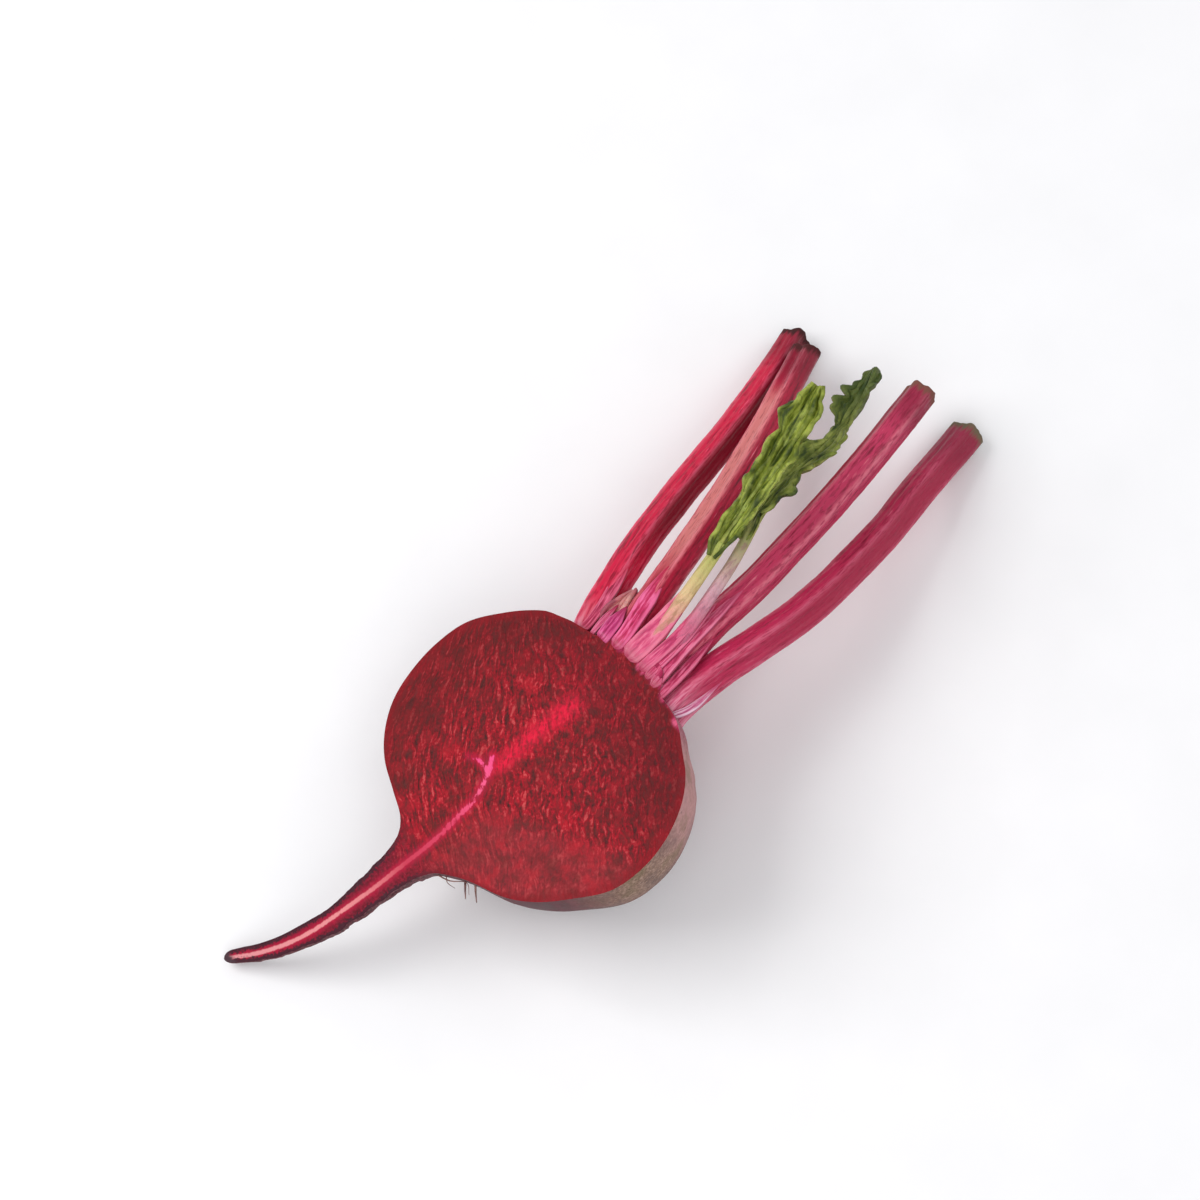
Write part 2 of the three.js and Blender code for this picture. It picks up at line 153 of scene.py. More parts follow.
class Finish:
    """A material built by short calls. The calls that work out a value return its socket."""

    def __init__(self, name, roughness=0.5):
        self.material = bpy.data.materials.new(name)
        self.material.use_nodes = True
        self.tree = self.material.node_tree
        self.surface = self.tree.nodes["Principled BSDF"]
        self.surface.inputs["Roughness"].default_value = roughness

    def node(self, kind, inputs, output=0, **settings):
        made = self.tree.nodes.new(kind)
        for key, value in settings.items():
            setattr(made, key, value)
        for key, value in inputs.items():
            if isinstance(value, bpy.types.NodeSocket):
                self.tree.links.new(value, made.inputs[key])
            else:
                made.inputs[key].default_value = value
        return made.outputs[output]

    def value(self, name):
        return self.node("ShaderNodeAttribute", {}, "Fac", attribute_name=name)

    def vector(self, name):
        return self.node("ShaderNodeAttribute", {}, "Vector", attribute_name=name)

    def coordinate(self, vector, axis):
        return self.node("ShaderNodeSeparateXYZ", {"Vector": vector}, axis)

    def scaled(self, vector, scale):
        return self.node("ShaderNodeMapping", {"Vector": vector, "Scale": scale})

    def noise(self, vector, scale, detail=3.0, rough=0.55, warp=0.0):
        inputs = {"Vector": vector, "Scale": scale, "Detail": detail, "Roughness": rough, "Distortion": warp}
        return self.node("ShaderNodeTexNoise", inputs, "Fac")

    def sum(self, first, second):
        return self.node("ShaderNodeMath", {0: first, 1: second}, operation="ADD")

    def times(self, first, second):
        return self.node("ShaderNodeMath", {0: first, 1: second}, operation="MULTIPLY")

    def step(self, value, start, end, low=0.0, high=1.0):
        inputs = {"Value": value, "From Min": start, "From Max": end, "To Min": low, "To Max": high}
        return self.node("ShaderNodeMapRange", inputs, interpolation_type="SMOOTHSTEP")

    def ramp(self, value, stops):
        made = self.tree.nodes.new("ShaderNodeValToRGB")
        self.tree.links.new(value, made.inputs["Fac"])
        elements = made.color_ramp.elements
        while len(elements) < len(stops):
            elements.new(0.5)
        for element, (position, tone) in zip(elements, stops):
            element.position = position
            element.color = colour(*tone)
        return made.outputs["Color"]

    def mix(self, factor, first, second):
        tones = [colour(*tone) if isinstance(tone, tuple) else tone for tone in (first, second)]
        inputs = {0: factor, 6: tones[0], 7: tones[1]}
        return self.node("ShaderNodeMix", inputs, 2, data_type="RGBA")

    def paint(self, tone):
        self.tree.links.new(tone, self.surface.inputs["Base Color"])

    def gloss(self, roughness):
        self.tree.links.new(roughness, self.surface.inputs["Roughness"])

    def bump(self, height, distance_mm, strength):
        inputs = {"Height": height, "Distance": distance_mm * MM, "Strength": strength}
        normal = self.node("ShaderNodeBump", inputs)
        self.tree.links.new(normal, self.surface.inputs["Normal"])

    def shine(self, level):
        self.surface.inputs["Specular IOR Level"].default_value = level

    def soften(self, weight, depth_mm):
        self.surface.inputs["Subsurface Weight"].default_value = weight
        self.surface.inputs["Subsurface Radius"].default_value = SCATTER_REACH
        self.surface.inputs["Subsurface Scale"].default_value = depth_mm * MM


print("finish helper ready")

# %% [markdown]
# The table is a wide sheet with the faintest grain. A single square is enough, because nothing on it is
# raised.

# %% Lay the floor
FLOOR_SPAN = 8.0
FLOOR_GRAIN_SCALE = 40.0
floor_mesh = bpy.data.meshes.new("floor")
corner = FLOOR_SPAN / 2
floor_mesh.from_pydata(
    [(-corner, -corner, 0), (corner, -corner, 0), (corner, corner, 0), (-corner, corner, 0)],
    [],
    [(0, 1, 2, 3)],
)
floor = bpy.data.objects.new("floor", floor_mesh)
bpy.context.collection.objects.link(floor)
table = Finish("white_table", roughness=0.55)
table_place = table.node("ShaderNodeTexCoord", {}, "Object")
table_grain = table.noise(table_place, FLOOR_GRAIN_SCALE)
table.paint(table.ramp(table_grain, [(0.3, (247, 247, 248)), (0.7, (250, 250, 251))]))
floor_mesh.materials.append(table.material)
print("floor", FLOOR_SPAN, "m wide")

# %% [markdown]
# ## Curves and lofts
# Roots and stalks are long bodies whose section changes along the way. They could be sculpted, but a
# loft says what they are: a few sections joined by a smooth curve, then many rings sampled from it.
# The same curve is used for every list of sections here.

# %% Write the curve and mesh helpers
def spline(points, t):
    """Uniform Catmull-Rom curve through the points, at fractions t of its run."""
    knots = np.asarray(points, dtype=float)
    last = len(knots) - 1
    run = np.clip(np.asarray(t, dtype=float), 0.0, 1.0) * last
    index = np.minimum(run.astype(int), last - 1)
    w = (run - index)[:, None]
    ends = np.vstack([2 * knots[0] - knots[1], knots, 2 * knots[-1] - knots[-2]])
    before, start, stop, after = (ends[index + step] for step in range(4))
    leave = (stop - before) / 2
    arrive = (after - start) / 2
    cubic = 2 * start - 2 * stop + leave + arrive
    square = -3 * start + 3 * stop - 2 * leave - arrive
    return cubic * w ** 3 + square * w ** 2 + leave * w + start


def smoothstep(value, start, end):
    t = np.clip((np.asarray(value, dtype=float) - start) / (end - start), 0.0, 1.0)
    return t * t * (3 - 2 * t)


def bell(value, width):
    return np.exp(-((np.asarray(value) / width) ** 2))


def wander(points, scale, seed=0.0):
    """Smooth noise from -1 to 1 at each point, for shapes that must not look regular."""
    shifted = np.asarray(points) * scale + seed
    return np.array([noise.noise(Vector(point)) for point in shifted])


def ring_angles(sides):
    return -2 * math.pi * np.arange(sides) / sides


def rings(centre, across, lift, wide, high):
    """Rows of section points: wide along each section's first direction, high along its second."""
    return centre[:, None] + across[:, None] * wide[:, :, None] + lift[:, None] * high[:, :, None]


def add_mesh(name, points, faces, attributes, finishes, finish_index=None):
    """Makes an object from points in the root's frame, with named values stored at its points."""
    mesh = bpy.data.meshes.new(name)
    mesh.from_pydata(to_scene(points).tolist(), [], faces)
    for key, values in attributes.items():
        values = np.asarray(values, dtype=np.float32)
        kind = "FLOAT_VECTOR" if values.ndim == 2 else "FLOAT"
        channel = "vector" if values.ndim == 2 else "value"
        mesh.attributes.new(key, kind, "POINT").data.foreach_set(channel, values.ravel())
    for finish in finishes:
        mesh.materials.append(finish.material)
    if finish_index is not None:
        mesh.polygons.foreach_set("material_index", np.asarray(finish_index, dtype=np.int32))
    mesh.shade_smooth()
    shape = bpy.data.objects.new(name, mesh)
    bpy.context.collection.objects.link(shape)
    return shape


def loft_faces(rows, sides):
    """Quads between neighbouring rings, then a fan on each end round two extra centre points."""
    ring = np.arange(sides)
    after = (ring + 1) % sides
    faces = []
    for row in range(rows - 1):
        here = row * sides
        there = here + sides
        faces.extend(zip(here + ring, there + ring, there + after, here + after))
    first_centre = rows * sides
    last_centre = first_centre + 1
    last_row = (rows - 1) * sides
    faces.extend(zip([first_centre] * sides, ring, after))
    faces.extend(zip([last_centre] * sides, last_row + after, last_row + ring))
    return [tuple(int(corner) for corner in face) for face in faces]


def attach(piece, node):
    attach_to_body(piece, "root")
    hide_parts(node)
    print(piece.name, len(piece.data.polygons), "faces")


print("curve and mesh helpers ready")

# %% [markdown]
# ## The half root
# Bulb, crown and tail grew as one, so they are one mesh. Each section has a straight line across the
# cut face and a round skin under it. The skin gets old leaf scars at the crown, wrinkles on the tail
# and shallow swells, all as real relief, because they show at the outline.

# %% Give the sections of the root
# x, left edge and right edge of the cut face, depth, how far the face has sunk, and the turn
ROOT_STATIONS = [
    (33.2, 5.5, -4.5, 5.0, 0.0, 0.0),
    (32.2, 8.0, -6.5, 8.0, 0.0, 0.0),
    (30.2, 9.8, -8.2, 10.5, 0.0, 0.0),
    (28.6, 11.5, -9.5, 11.5, 0.0, 0.0),
    (27.7, 15.5, -13.5, 14.0, 0.0, 0.0),
    (26.9, 18.8, -16.8, 16.8, 0.0, 0.0),
    (25.0, 22.0, -21.4, 20.4, 0.0, 0.0),
    (21.8, 26.4, -27.4, 25.4, 0.0, 0.0),
    (16.5, 31.2, -32.3, 31.0, 0.0, 0.0),
    (9.0, 36.0, -35.8, 34.8, 0.0, 0.0),
    (1.0, 37.4, -37.0, 35.8, 0.0, 0.0),
    (-7.0, 36.8, -35.7, 34.6, 0.0, 0.0),
    (-14.5, 34.6, -30.8, 31.8, 0.0, 0.0),
    (-20.5, 30.5, -25.8, 27.0, 0.0, 0.0),
    (-25.0, 25.0, -19.8, 21.0, 0.0, 0.0),
    (-28.2, 17.6, -11.9, 14.6, 0.0, 0.0),
    (-30.6, 12.0, -7.4, 10.0, 0.0, 0.0),
    (-34.0, 8.9, -3.2, 7.0, 0.0, 0.0),
    (-40.0, 7.8, -0.9, 5.0, 0.3, 0.0),
    (-48.6, 8.0, 0.9, 4.1, 1.2, 0.1),
    (-56.8, 8.9, 2.9, 3.5, 2.6, 0.27),
    (-63.3, 11.2, 5.8, 3.1, 4.1, 0.42),
    (-69.2, 13.7, 9.1, 2.7, 5.6, 0.52),
    (-74.1, 16.5, 12.5, 2.4, 6.7, 0.62),
    (-78.0, 19.3, 15.9, 2.1, 7.3, 0.68),
    (-81.2, 21.5, 18.7, 1.8, 7.6, 0.72),
]
SKIN_SIDES = 150
FACE_SIDES = 56
ROOT_ROWS = 340
SKIN_FULLNESS = 2.4
CROWN_SLANT = 0.07
TIP_ROUNDING = 1.4
print(len(ROOT_STATIONS), "sections,", ROOT_ROWS * (SKIN_SIDES + FACE_SIDES), "points")

# %% [markdown]
# A bulb is never quite even. Old leaf scars ring its shoulder, the belly swells here and there, and
# the tail is wrinkled. A displacement picture could do this, but short waves along the root and
# round it are enough, and each fades out where its own form ends.

# %% Shape the skin's relief
WIDE_SWELL = 0.35
NARROW_SWELL = 0.25
SWELL_HELD_IN = 0.5
SCAR_HEIGHT = 0.4
WRINKLE_HEIGHT = 0.04


def skin_relief(x, angle):
    """How far the skin stands out, in millimetres. angle runs under the root from edge to edge."""
    crown = smoothstep(x, 16, 24) - smoothstep(x, 26, 29)
    tail = 1 - smoothstep(x, -34, -24)
    wide = WIDE_SWELL * np.sin(2 * angle + 0.09 * x + 1.1)
    narrow = NARROW_SWELL * np.sin(5 * angle - 0.13 * x)
    swells = wide + narrow - SWELL_HELD_IN
    scars = SCAR_HEIGHT * crown * np.cos(1.9 * x + 0.8 * np.sin(4 * angle))
    wrinkles = WRINKLE_HEIGHT * tail * np.cos(2.3 * x + 1.3 * np.sin(3 * angle))
    return (swells * (1 - tail) + scars + wrinkles) * np.sin(angle)


def root_grid():
    """Rings of the root, and for each point its angle round the skin, or -1 on the cut face."""
    table = spline(ROOT_STATIONS, np.linspace(0, 1, ROOT_ROWS))
    x, left, edge, depth, drop, lean = (column[:, None] for column in table.T)
    to_tip = np.clip((x - x.min()) / TIP_ROUNDING, 0, 1)
    rounding = np.sqrt(np.clip(1 - (1 - to_tip) ** 2, 0.05, 1))
    middle = (left + edge) / 2
    half = (left - edge) / 2 * rounding
    depth = depth * rounding
    angle = np.linspace(0, math.pi, SKIN_SIDES + 1)[None, :]
    swell = skin_relief(x, angle)
    cosine = -np.sign(np.cos(angle)) * np.abs(np.cos(angle)) ** (2 / SKIN_FULLNESS)
    sine = np.abs(np.sin(angle)) ** (2 / SKIN_FULLNESS)
    skin_across = cosine * (half + swell)
    skin_height = -sine * (depth + swell)
    step = np.arange(1, FACE_SIDES)[None, :] / FACE_SIDES
    across = np.hstack([skin_across, half - 2 * half * step])
    height = np.hstack([skin_height, np.zeros((ROOT_ROWS, FACE_SIDES - 1))])
    slant = CROWN_SLANT * smoothstep(x, 23, 28)
    y = middle + across * np.cos(lean)
    points = np.stack([x + across * np.sin(lean) - slant * y, y, height - drop], axis=2)
    angles = np.hstack([
        np.repeat(angle, ROOT_ROWS, axis=0),
        np.full((ROOT_ROWS, FACE_SIDES - 1), -1.0),
    ])
    edge_gap = np.hstack([np.zeros_like(skin_across), half - np.abs(half - 2 * half * step)])
    return points, angles, edge_gap


root_points, root_angles, edge_gap = root_grid()
root_x = root_points[..., 0]
print("root from x", round(float(root_x.min()), 1), "to", round(float(root_x.max()), 1))

# %% [markdown]
# ## Marks on the cut face
# A cut beetroot shows short bright and dark fibres, a pale strand that comes up from the tail and a
# glowing core behind it. Their places are worked out here as smooth values on the mesh: the finish
# then turns them into colour. That keeps the marks at their real size whatever the mesh is.

# %% Work out the marks on the cut face
FIBRE_LENGTH = 4.4
FIBRE_WIDTH = 0.92
FIBRE_TURN = math.radians(50.5)
FIBRE_BEND = 0.013
# size, scale and seed of the fibres' slow and quick sideways drift
FIBRE_SWAYS = [(0.9, 0.16, 5.0), (0.5, 0.45, 9.0)]
# how many places along a path are measured against each point
PATH_STEPS = 240
CORE_WIDTH = 1.7
CORE_WIDENING = 1.2
CORE_FADE = 0.85
# how much thinner the fork's line is than the strand's, and how much of that it loses on its way
FORK_THINNER = 0.35
FORK_SWELLING = 0.25
STRAND = [
    (-84, 22.0), (-74, 14.3), (-63, 8.4), (-48, 4.4), (-38, 2.9), (-31, 2.1),
    (-25.2, 2.0), (-19.8, 2.3), (-14.7, 2.9), (-10.3, 4.8), (-6.8, 7.4),
]
FORK = [(-10.8, 11.4), (-9.5, 8.4), (-9.8, 5.4)]
CORE = [(-7, 4.3), (4.2, 4.0), (13.6, 3.0), (17.4, 3.2)]


def distance_to(path, x, y):
    """Distance from each point to a smooth path across the face, and how far along it lies."""
    run = np.linspace(0, 1, PATH_STEPS)
    line = spline(path, run)
    gaps = np.hypot(x[:, None] - line[None, :, 0], y[:, None] - line[None, :, 1])
    nearest = gaps.argmin(axis=1)
    return gaps[np.arange(len(x)), nearest], run[nearest]


def fibre_places(x, y):
    """Places along and across the fibres, which bend with the rim on the left."""
    along = x * math.cos(FIBRE_TURN) + y * math.sin(FIBRE_TURN)
    across = x * math.sin(FIBRE_TURN) - y * math.cos(FIBRE_TURN)
    bend = FIBRE_BEND * (1 - smoothstep(across, -34, 4))
    flat_places = np.stack([x, y, np.zeros_like(x)], axis=1)
    sway = sum(size * wander(flat_places, scale, seed) for size, scale, seed in FIBRE_SWAYS)
    bent = across - bend * along ** 2 + sway
    length = FIBRE_LENGTH * (0.6 + 0.4 * smoothstep(-across, -10, 22))
    return np.stack([along / length, bent / FIBRE_WIDTH, np.zeros_like(along)], axis=1)


end_centres = np.array([root_points[0].mean(axis=0), root_points[-1].mean(axis=0)])
root_flat = np.vstack([root_points.reshape(-1, 3), end_centres])
face_x, face_y = root_flat[:, 0], root_flat[:, 1]
strand_gap, strand_run = distance_to(STRAND, face_x, face_y)
core_gap, core_run = distance_to(CORE, face_x, face_y)
fork_gap, fork_run = distance_to(FORK, face_x, face_y)
strand_gap = np.minimum(strand_gap, fork_gap + FORK_THINNER - FORK_SWELLING * fork_run)
core_glow = bell(core_gap, CORE_WIDTH + CORE_WIDENING * core_run)
core_glow *= 1 - CORE_FADE * smoothstep(core_run, 0.55, 0.95)
marks = {
    "grown": root_flat,
    "fibre": fibre_places(face_x, face_y),
    "strand": strand_gap,
    "strand_run": strand_run,
    "core": core_glow,
    "rim": np.append(edge_gap.ravel(), [0.0, 0.0]),
    "around": np.append(root_angles.ravel(), [math.pi / 2, math.pi / 2]),
}
print("marks:", ", ".join(marks))

# %% [markdown]
# ## Flesh finish
# The flesh is wet and dark red. A photograph could be laid on the cut, but then the piece could never
# be lit or turned freely, so the finish is grown from noise. Stretched noise gives the fibres, broader
# noises move the tone about, and the marks are laid over them from the weakest to the strongest.

# %% Give the tones of the flesh
FLESH_TONES = {
    "dull cloud": (92, 26, 26),
    "clear cloud": (176, 18, 36),
    "brown patch": (88, 34, 30),
    "red patch": (190, 30, 44),
    "near the crown": (90, 10, 20),
    "left side": (84, 20, 20),
    "right side": (80, 12, 18),
    "core": (226, 22, 60),
    "rim": (132, 10, 24),
    "glow": (196, 16, 62),
    "bark": (66, 26, 38),
    "dried tip": (74, 52, 60),
}
LIVELY_FIBRES = [
    (0.35, (54, 14, 14)),
    (0.42, (96, 18, 22)),
    (0.49, (130, 12, 26)),
    (0.56, (172, 16, 36)),
    (0.63, (200, 76, 78)),
]
CALM_FIBRES = [(0.34, (112, 30, 36)), (0.5, (142, 36, 44)), (0.66, (170, 62, 66))]
TAIL_FLESH = [(0.35, (76, 10, 28)), (0.65, (128, 16, 46))]
STRAND_PALE = [
    (0.0, (218, 146, 150)),
    (0.26, (226, 140, 142)),
    (0.42, (196, 56, 80)),
    (0.62, (214, 62, 96)),
    (0.82, (238, 92, 134)),
    (1.0, (240, 78, 136)),
]
CROWN_CUT = [(0.36, (98, 10, 38)), (0.5, (160, 30, 74)), (0.64, (210, 86, 122))]
print(len(FLESH_TONES), "named tones for the flesh")

# %% [markdown]
# The fibres run through the whole face, but they aren't the same all over: they stand out in the
# middle and lie calm towards the low rim, and broad areas lean to brown or to clear red. Each area is
# a soft mask, and a loop lays the masks' tones over the fibres one by one.

# %% Lay the ground of the flesh
def fibrous_ground(flesh, grain, cloud, place, across):
    patch = flesh.noise(flesh.vector("grown"), 0.26, detail=2.0)
    towards_low_rim = flesh.sum(flesh.times(place, 0.9), flesh.times(across, 0.43))
    low = flesh.step(towards_low_rim, -11.0, -18.0)
    calm_area = flesh.times(low, flesh.step(across, 4.0, -6.0, 0.0, 0.85))
    tone = flesh.mix(calm_area, flesh.ramp(grain, LIVELY_FIBRES), flesh.ramp(grain, CALM_FIBRES))
    areas = {
        "dull cloud": flesh.step(cloud, 0.46, 0.62, 0.0, 0.4),
        "clear cloud": flesh.step(cloud, 0.46, 0.34, 0.0, 0.35),
        "brown patch": flesh.step(patch, 0.52, 0.66, 0.0, 0.45),
        "red patch": flesh.step(patch, 0.46, 0.34, 0.0, 0.30),
        "near the crown": flesh.step(place, 6.0, 26.0, 0.0, 0.5),
        "left side": flesh.step(across, 8.0, 32.0, 0.0, 0.5),
        "right side": flesh.times(
            flesh.step(across, -2.0, -24.0, 0.0, 0.42),
            flesh.step(place, -6.0, 12.0),
        ),
    }
    for area, cover in areas.items():
        tone = flesh.mix(cover, tone, FLESH_TONES[area])
    return tone


print("ground of the flesh ready")

# %% [markdown]
# The marks are the core's glow, the darker rim, the tail with its pale strand and thin bark, and the
# streaked cut of the crown. Their distances were stored on the mesh, so each mark is only a soft step
# of its distance, roughened a little by the fibres so that no mark has a ruled edge.

# %% Lay the marks of the flesh
def core_and_rim(flesh, tone, grain, fine, cloud):
    core = flesh.times(flesh.value("core"), flesh.step(grain, 0.38, 0.56, 0.35, 1.0))
    core = flesh.times(core, flesh.step(cloud, 0.30, 0.50, 0.6, 1.0))
    tone = flesh.mix(core, tone, FLESH_TONES["core"])
    rim = flesh.sum(flesh.value("rim"), flesh.step(fine, 0.3, 0.7, -0.4, 0.4))
    return flesh.mix(flesh.step(rim, 3.2, 0.8, 0.0, 0.55), tone, FLESH_TONES["rim"]), rim


def tail_and_strand(flesh, tone, fibre, fine, rim, place):
    tail = flesh.step(place, -27.0, -42.0)
    tone = flesh.mix(flesh.times(tail, 0.8), tone, flesh.ramp(fine, TAIL_FLESH))
    less_on_tail = flesh.step(place, -36.0, -24.0, 0.1, 1.0)
    frayed = flesh.times(flesh.step(fibre, 0.3, 0.7, 0.24, -0.24), less_on_tail)
    strand = flesh.sum(flesh.value("strand"), frayed)
    strand = flesh.sum(strand, flesh.step(fine, 0.3, 0.7, -0.08, 0.08))
    tone = flesh.mix(flesh.step(strand, 2.2, 0.3, 0.0, 0.6), tone, FLESH_TONES["glow"])
    pale = flesh.ramp(flesh.value("strand_run"), STRAND_PALE)
    tone = flesh.mix(flesh.step(strand, 0.68, 0.34, 0.0, 0.95), tone, pale)
    bark = flesh.times(tail, flesh.step(rim, 1.25, 0.7))
    tone = flesh.mix(bark, tone, FLESH_TONES["bark"])
    return flesh.mix(flesh.step(place, -79.0, -80.6), tone, FLESH_TONES["dried tip"])


def crown_cut(flesh, tone, place, across):
    grown = flesh.vector("grown")
    streak = flesh.noise(flesh.scaled(grown, (0.10, 0.62, 0.62)), 1.0, detail=3.0)
    drift = flesh.noise(flesh.scaled(grown, (0.02, 0.22, 0.22)), 1.0, detail=4.0)
    off_centre = flesh.sum(across, 1.0)
    curved = flesh.times(flesh.times(off_centre, off_centre), 0.010)
    edge = flesh.sum(flesh.sum(place, flesh.step(drift, 0.3, 0.7, -0.9, 0.9)), curved)
    on_crown = flesh.times(flesh.step(edge, 29.0, 30.4), flesh.step(place, 26.2, 27.4))
    return flesh.mix(on_crown, tone, flesh.ramp(streak, CROWN_CUT))


def flesh_finish():
    flesh = Finish("beet_flesh", roughness=0.5)
    flesh.shine(0.12)
    grown = flesh.vector("grown")
    fibre = flesh.noise(flesh.vector("fibre"), 1.0, detail=3.0, rough=0.6, warp=0.5)
    fine = flesh.noise(grown, 1.5, detail=3.0)
    cloud = flesh.noise(grown, 0.09, detail=3.0)
    place = flesh.coordinate(grown, "X")
    across = flesh.coordinate(grown, "Y")
    grain = flesh.sum(flesh.times(fibre, 0.72), flesh.times(fine, 0.28))
    tone = fibrous_ground(flesh, grain, cloud, place, across)
    tone, rim = core_and_rim(flesh, tone, grain, fine, cloud)
    tone = tail_and_strand(flesh, tone, fibre, fine, rim, place)
    tone = crown_cut(flesh, tone, place, across)
    flesh.paint(tone)
    flesh.gloss(flesh.step(fibre, 0.3, 0.7, 0.42, 0.6))
    flesh.bump(grain, 0.45, 0.6)
    flesh.soften(0.06, 1.2)
    return flesh


flesh = flesh_finish()
print("made", flesh.material.name)

# %% [markdown]
# ## Skin finish
# The skin is dull and thin. Taupe and pinkish patches lie over a maroon ground with pits and fine rings.
# They are partly soil dust and partly painted light: strongest near the cut on the low side, where the
# light falls, and fading to maroon lower down. A single noise would spread them evenly, so each patch
# also has a mask that says where on the root it belongs.

# %% Make the skin finish
MAROON = [(0.34, (64, 26, 34)), (0.5, (92, 38, 48)), (0.66, (120, 62, 70))]
# The pale taupe and pink tones below stand partly for soil dust and partly for painted light on the lit skin
# near the cut.
DUST_AND_LIT_SKIN = [(0.34, (112, 84, 66)), (0.52, (150, 118, 98)), (0.68, (190, 156, 140))]
TAIL_BARK = [(0.35, (54, 18, 24)), (0.5, (92, 34, 44)), (0.66, (132, 72, 78))]
CROWN_SKIN = [(0.35, (120, 40, 60)), (0.55, (170, 84, 108)), (0.7, (206, 150, 160))]
RING_BROWN = (72, 34, 36)
PINK_DUST_AND_LIGHT = (206, 148, 150)
OLIVE_DUST = (116, 104, 72)
PIT_BROWN = (48, 24, 22)


def skin_finish():
    skin = Finish("beet_skin", roughness=0.72)
    grown = skin.vector("grown")
    patches = skin.noise(grown, 0.09, detail=4.0, rough=0.6)
    speckle = skin.noise(grown, 1.4, detail=3.0, rough=0.65)
    rings = skin.noise(skin.scaled(grown, (0.7, 0.10, 0.10)), 1.0, detail=2.0)
    pits = skin.node("ShaderNodeTexVoronoi", {"Vector": grown, "Scale": 0.35}, "Distance")
    place = skin.coordinate(grown, "X")
    across = skin.coordinate(grown, "Y")
    height = skin.coordinate(grown, "Z")
    maroon = skin.ramp(patches, MAROON)
    maroon = skin.mix(skin.step(rings, 0.45, 0.62, 0.0, 0.45), maroon, RING_BROWN)
    dusty_and_lit = skin.ramp(speckle, DUST_AND_LIT_SKIN)
    dusty_and_lit = skin.mix(skin.step(place, 2.0, 18.0, 0.0, 0.75), dusty_and_lit, PINK_DUST_AND_LIGHT)
    dusty_and_lit = skin.mix(skin.step(patches, 0.50, 0.62, 0.0, 0.5), dusty_and_lit, OLIVE_DUST)
    # Painted light and shade: the pale tones are strongest near the cut on the low side, where the light
    # falls, and fade to maroon lower down, where the skin is in shade; the rest is soil dust in patches.
    low_side = skin.times(skin.step(across, 2.0, -20.0), skin.step(place, -18.0, -2.0))
    painted_light_near_cut = skin.step(height, -26.0, -8.0)
    dust_and_light = skin.times(skin.times(low_side, painted_light_near_cut), skin.step(patches, 0.30, 0.52, 0.55, 1.0))
    tone = skin.mix(skin.times(dust_and_light, 0.92), maroon, dusty_and_lit)
    tone = skin.mix(skin.step(pits, 0.16, 0.03, 0.0, 0.6), tone, PIT_BROWN)
    tone = skin.mix(skin.step(place, -26.0, -38.0), tone, skin.ramp(speckle, TAIL_BARK))
    tone = skin.mix(skin.step(place, 23.0, 28.0, 0.0, 0.8), tone, skin.ramp(speckle, CROWN_SKIN))
    skin.paint(tone)
    skin.gloss(skin.step(patches, 0.3, 0.7, 0.6, 0.85))
    skin.bump(skin.sum(skin.times(speckle, 0.5), skin.times(rings, 0.25)), 0.4, 0.6)
    return skin


skin = skin_finish()
print("made", skin.material.name)

# %% [markdown]
# Now the grid becomes a mesh. Two meshes would leave a seam at the knife's edge, so it is one: its
# quads on the cut face take the flesh and the others the skin, and the edge between them is marked
# sharp so that it stays crisp. Small lumps and creases roughen it, most of all on the tail.

# %% Build the half root
# scale, height on the bulb, further height on the tail, and seed of each size of lump
LUMPS = [(0.34, 0.12, 0.30, 0.0), (1.1, 0.05, 0.13, 7.0)]
CREASE_SCALE = (1.2, 0.25, 0.25)
CREASE_HEIGHT = 0.22
TAIL_EDGE_WIDTH = 0.9
CUT_WAVE = 0.10


def root_faces_and_finish(rows, sides):
    faces = loft_faces(rows, sides)
    on_face = np.zeros(len(faces), dtype=np.int32)
    for row in range(rows - 1):
        start = row * sides + SKIN_SIDES
        on_face[start:start + FACE_SIDES] = 1
    return faces, on_face


def mark_rim_sharp(mesh, rows, sides):
    rim = set()
    for row in range(rows - 1):
        for column in (0, SKIN_SIDES):
            here = row * sides + column
            rim.add((here, here + sides))
    sharp = [tuple(sorted(edge.vertices)) in rim for edge in mesh.edges]
    mesh.attributes.new("sharp_edge", "BOOLEAN", "EDGE").data.foreach_set("value", sharp)


def roughen_root(points, angles, edge_gap):
    """Fine unevenness: pits and creases of the skin, a knobbly edge on the tail, a slightly wavy cut."""
    x = points[:, 0]
    on_cut = angles < 0
    tail = 1 - smoothstep(x, -38, -28)
    bulb_weight = np.where(on_cut, 0.0, np.sin(np.clip(angles, 0, math.pi)))
    tail_weight = np.where(on_cut, bell(edge_gap, TAIL_EDGE_WIDTH), 1.0)
    weight = tail * tail_weight + (1 - tail) * bulb_weight
    lumps = sum(wander(points, scale, seed) * (bulb + more * tail) for scale, bulb, more, seed in LUMPS)
    lumps += CREASE_HEIGHT * tail * wander(points, CREASE_SCALE, 13.0)
    stations = np.array(ROOT_STATIONS[::-1])
    outward = points.copy()
    outward[:, 0] = 0
    outward[:, 1] -= np.interp(x, stations[:, 0], (stations[:, 1] + stations[:, 2]) / 2)
    length = np.maximum(np.linalg.norm(outward, axis=1), 0.5)[:, None]
    moved = points + outward / length * (lumps * weight)[:, None]
    moved[:, 2] += on_cut * CUT_WAVE * (wander(points, 0.16, 3.0) - 0.5)
    return moved


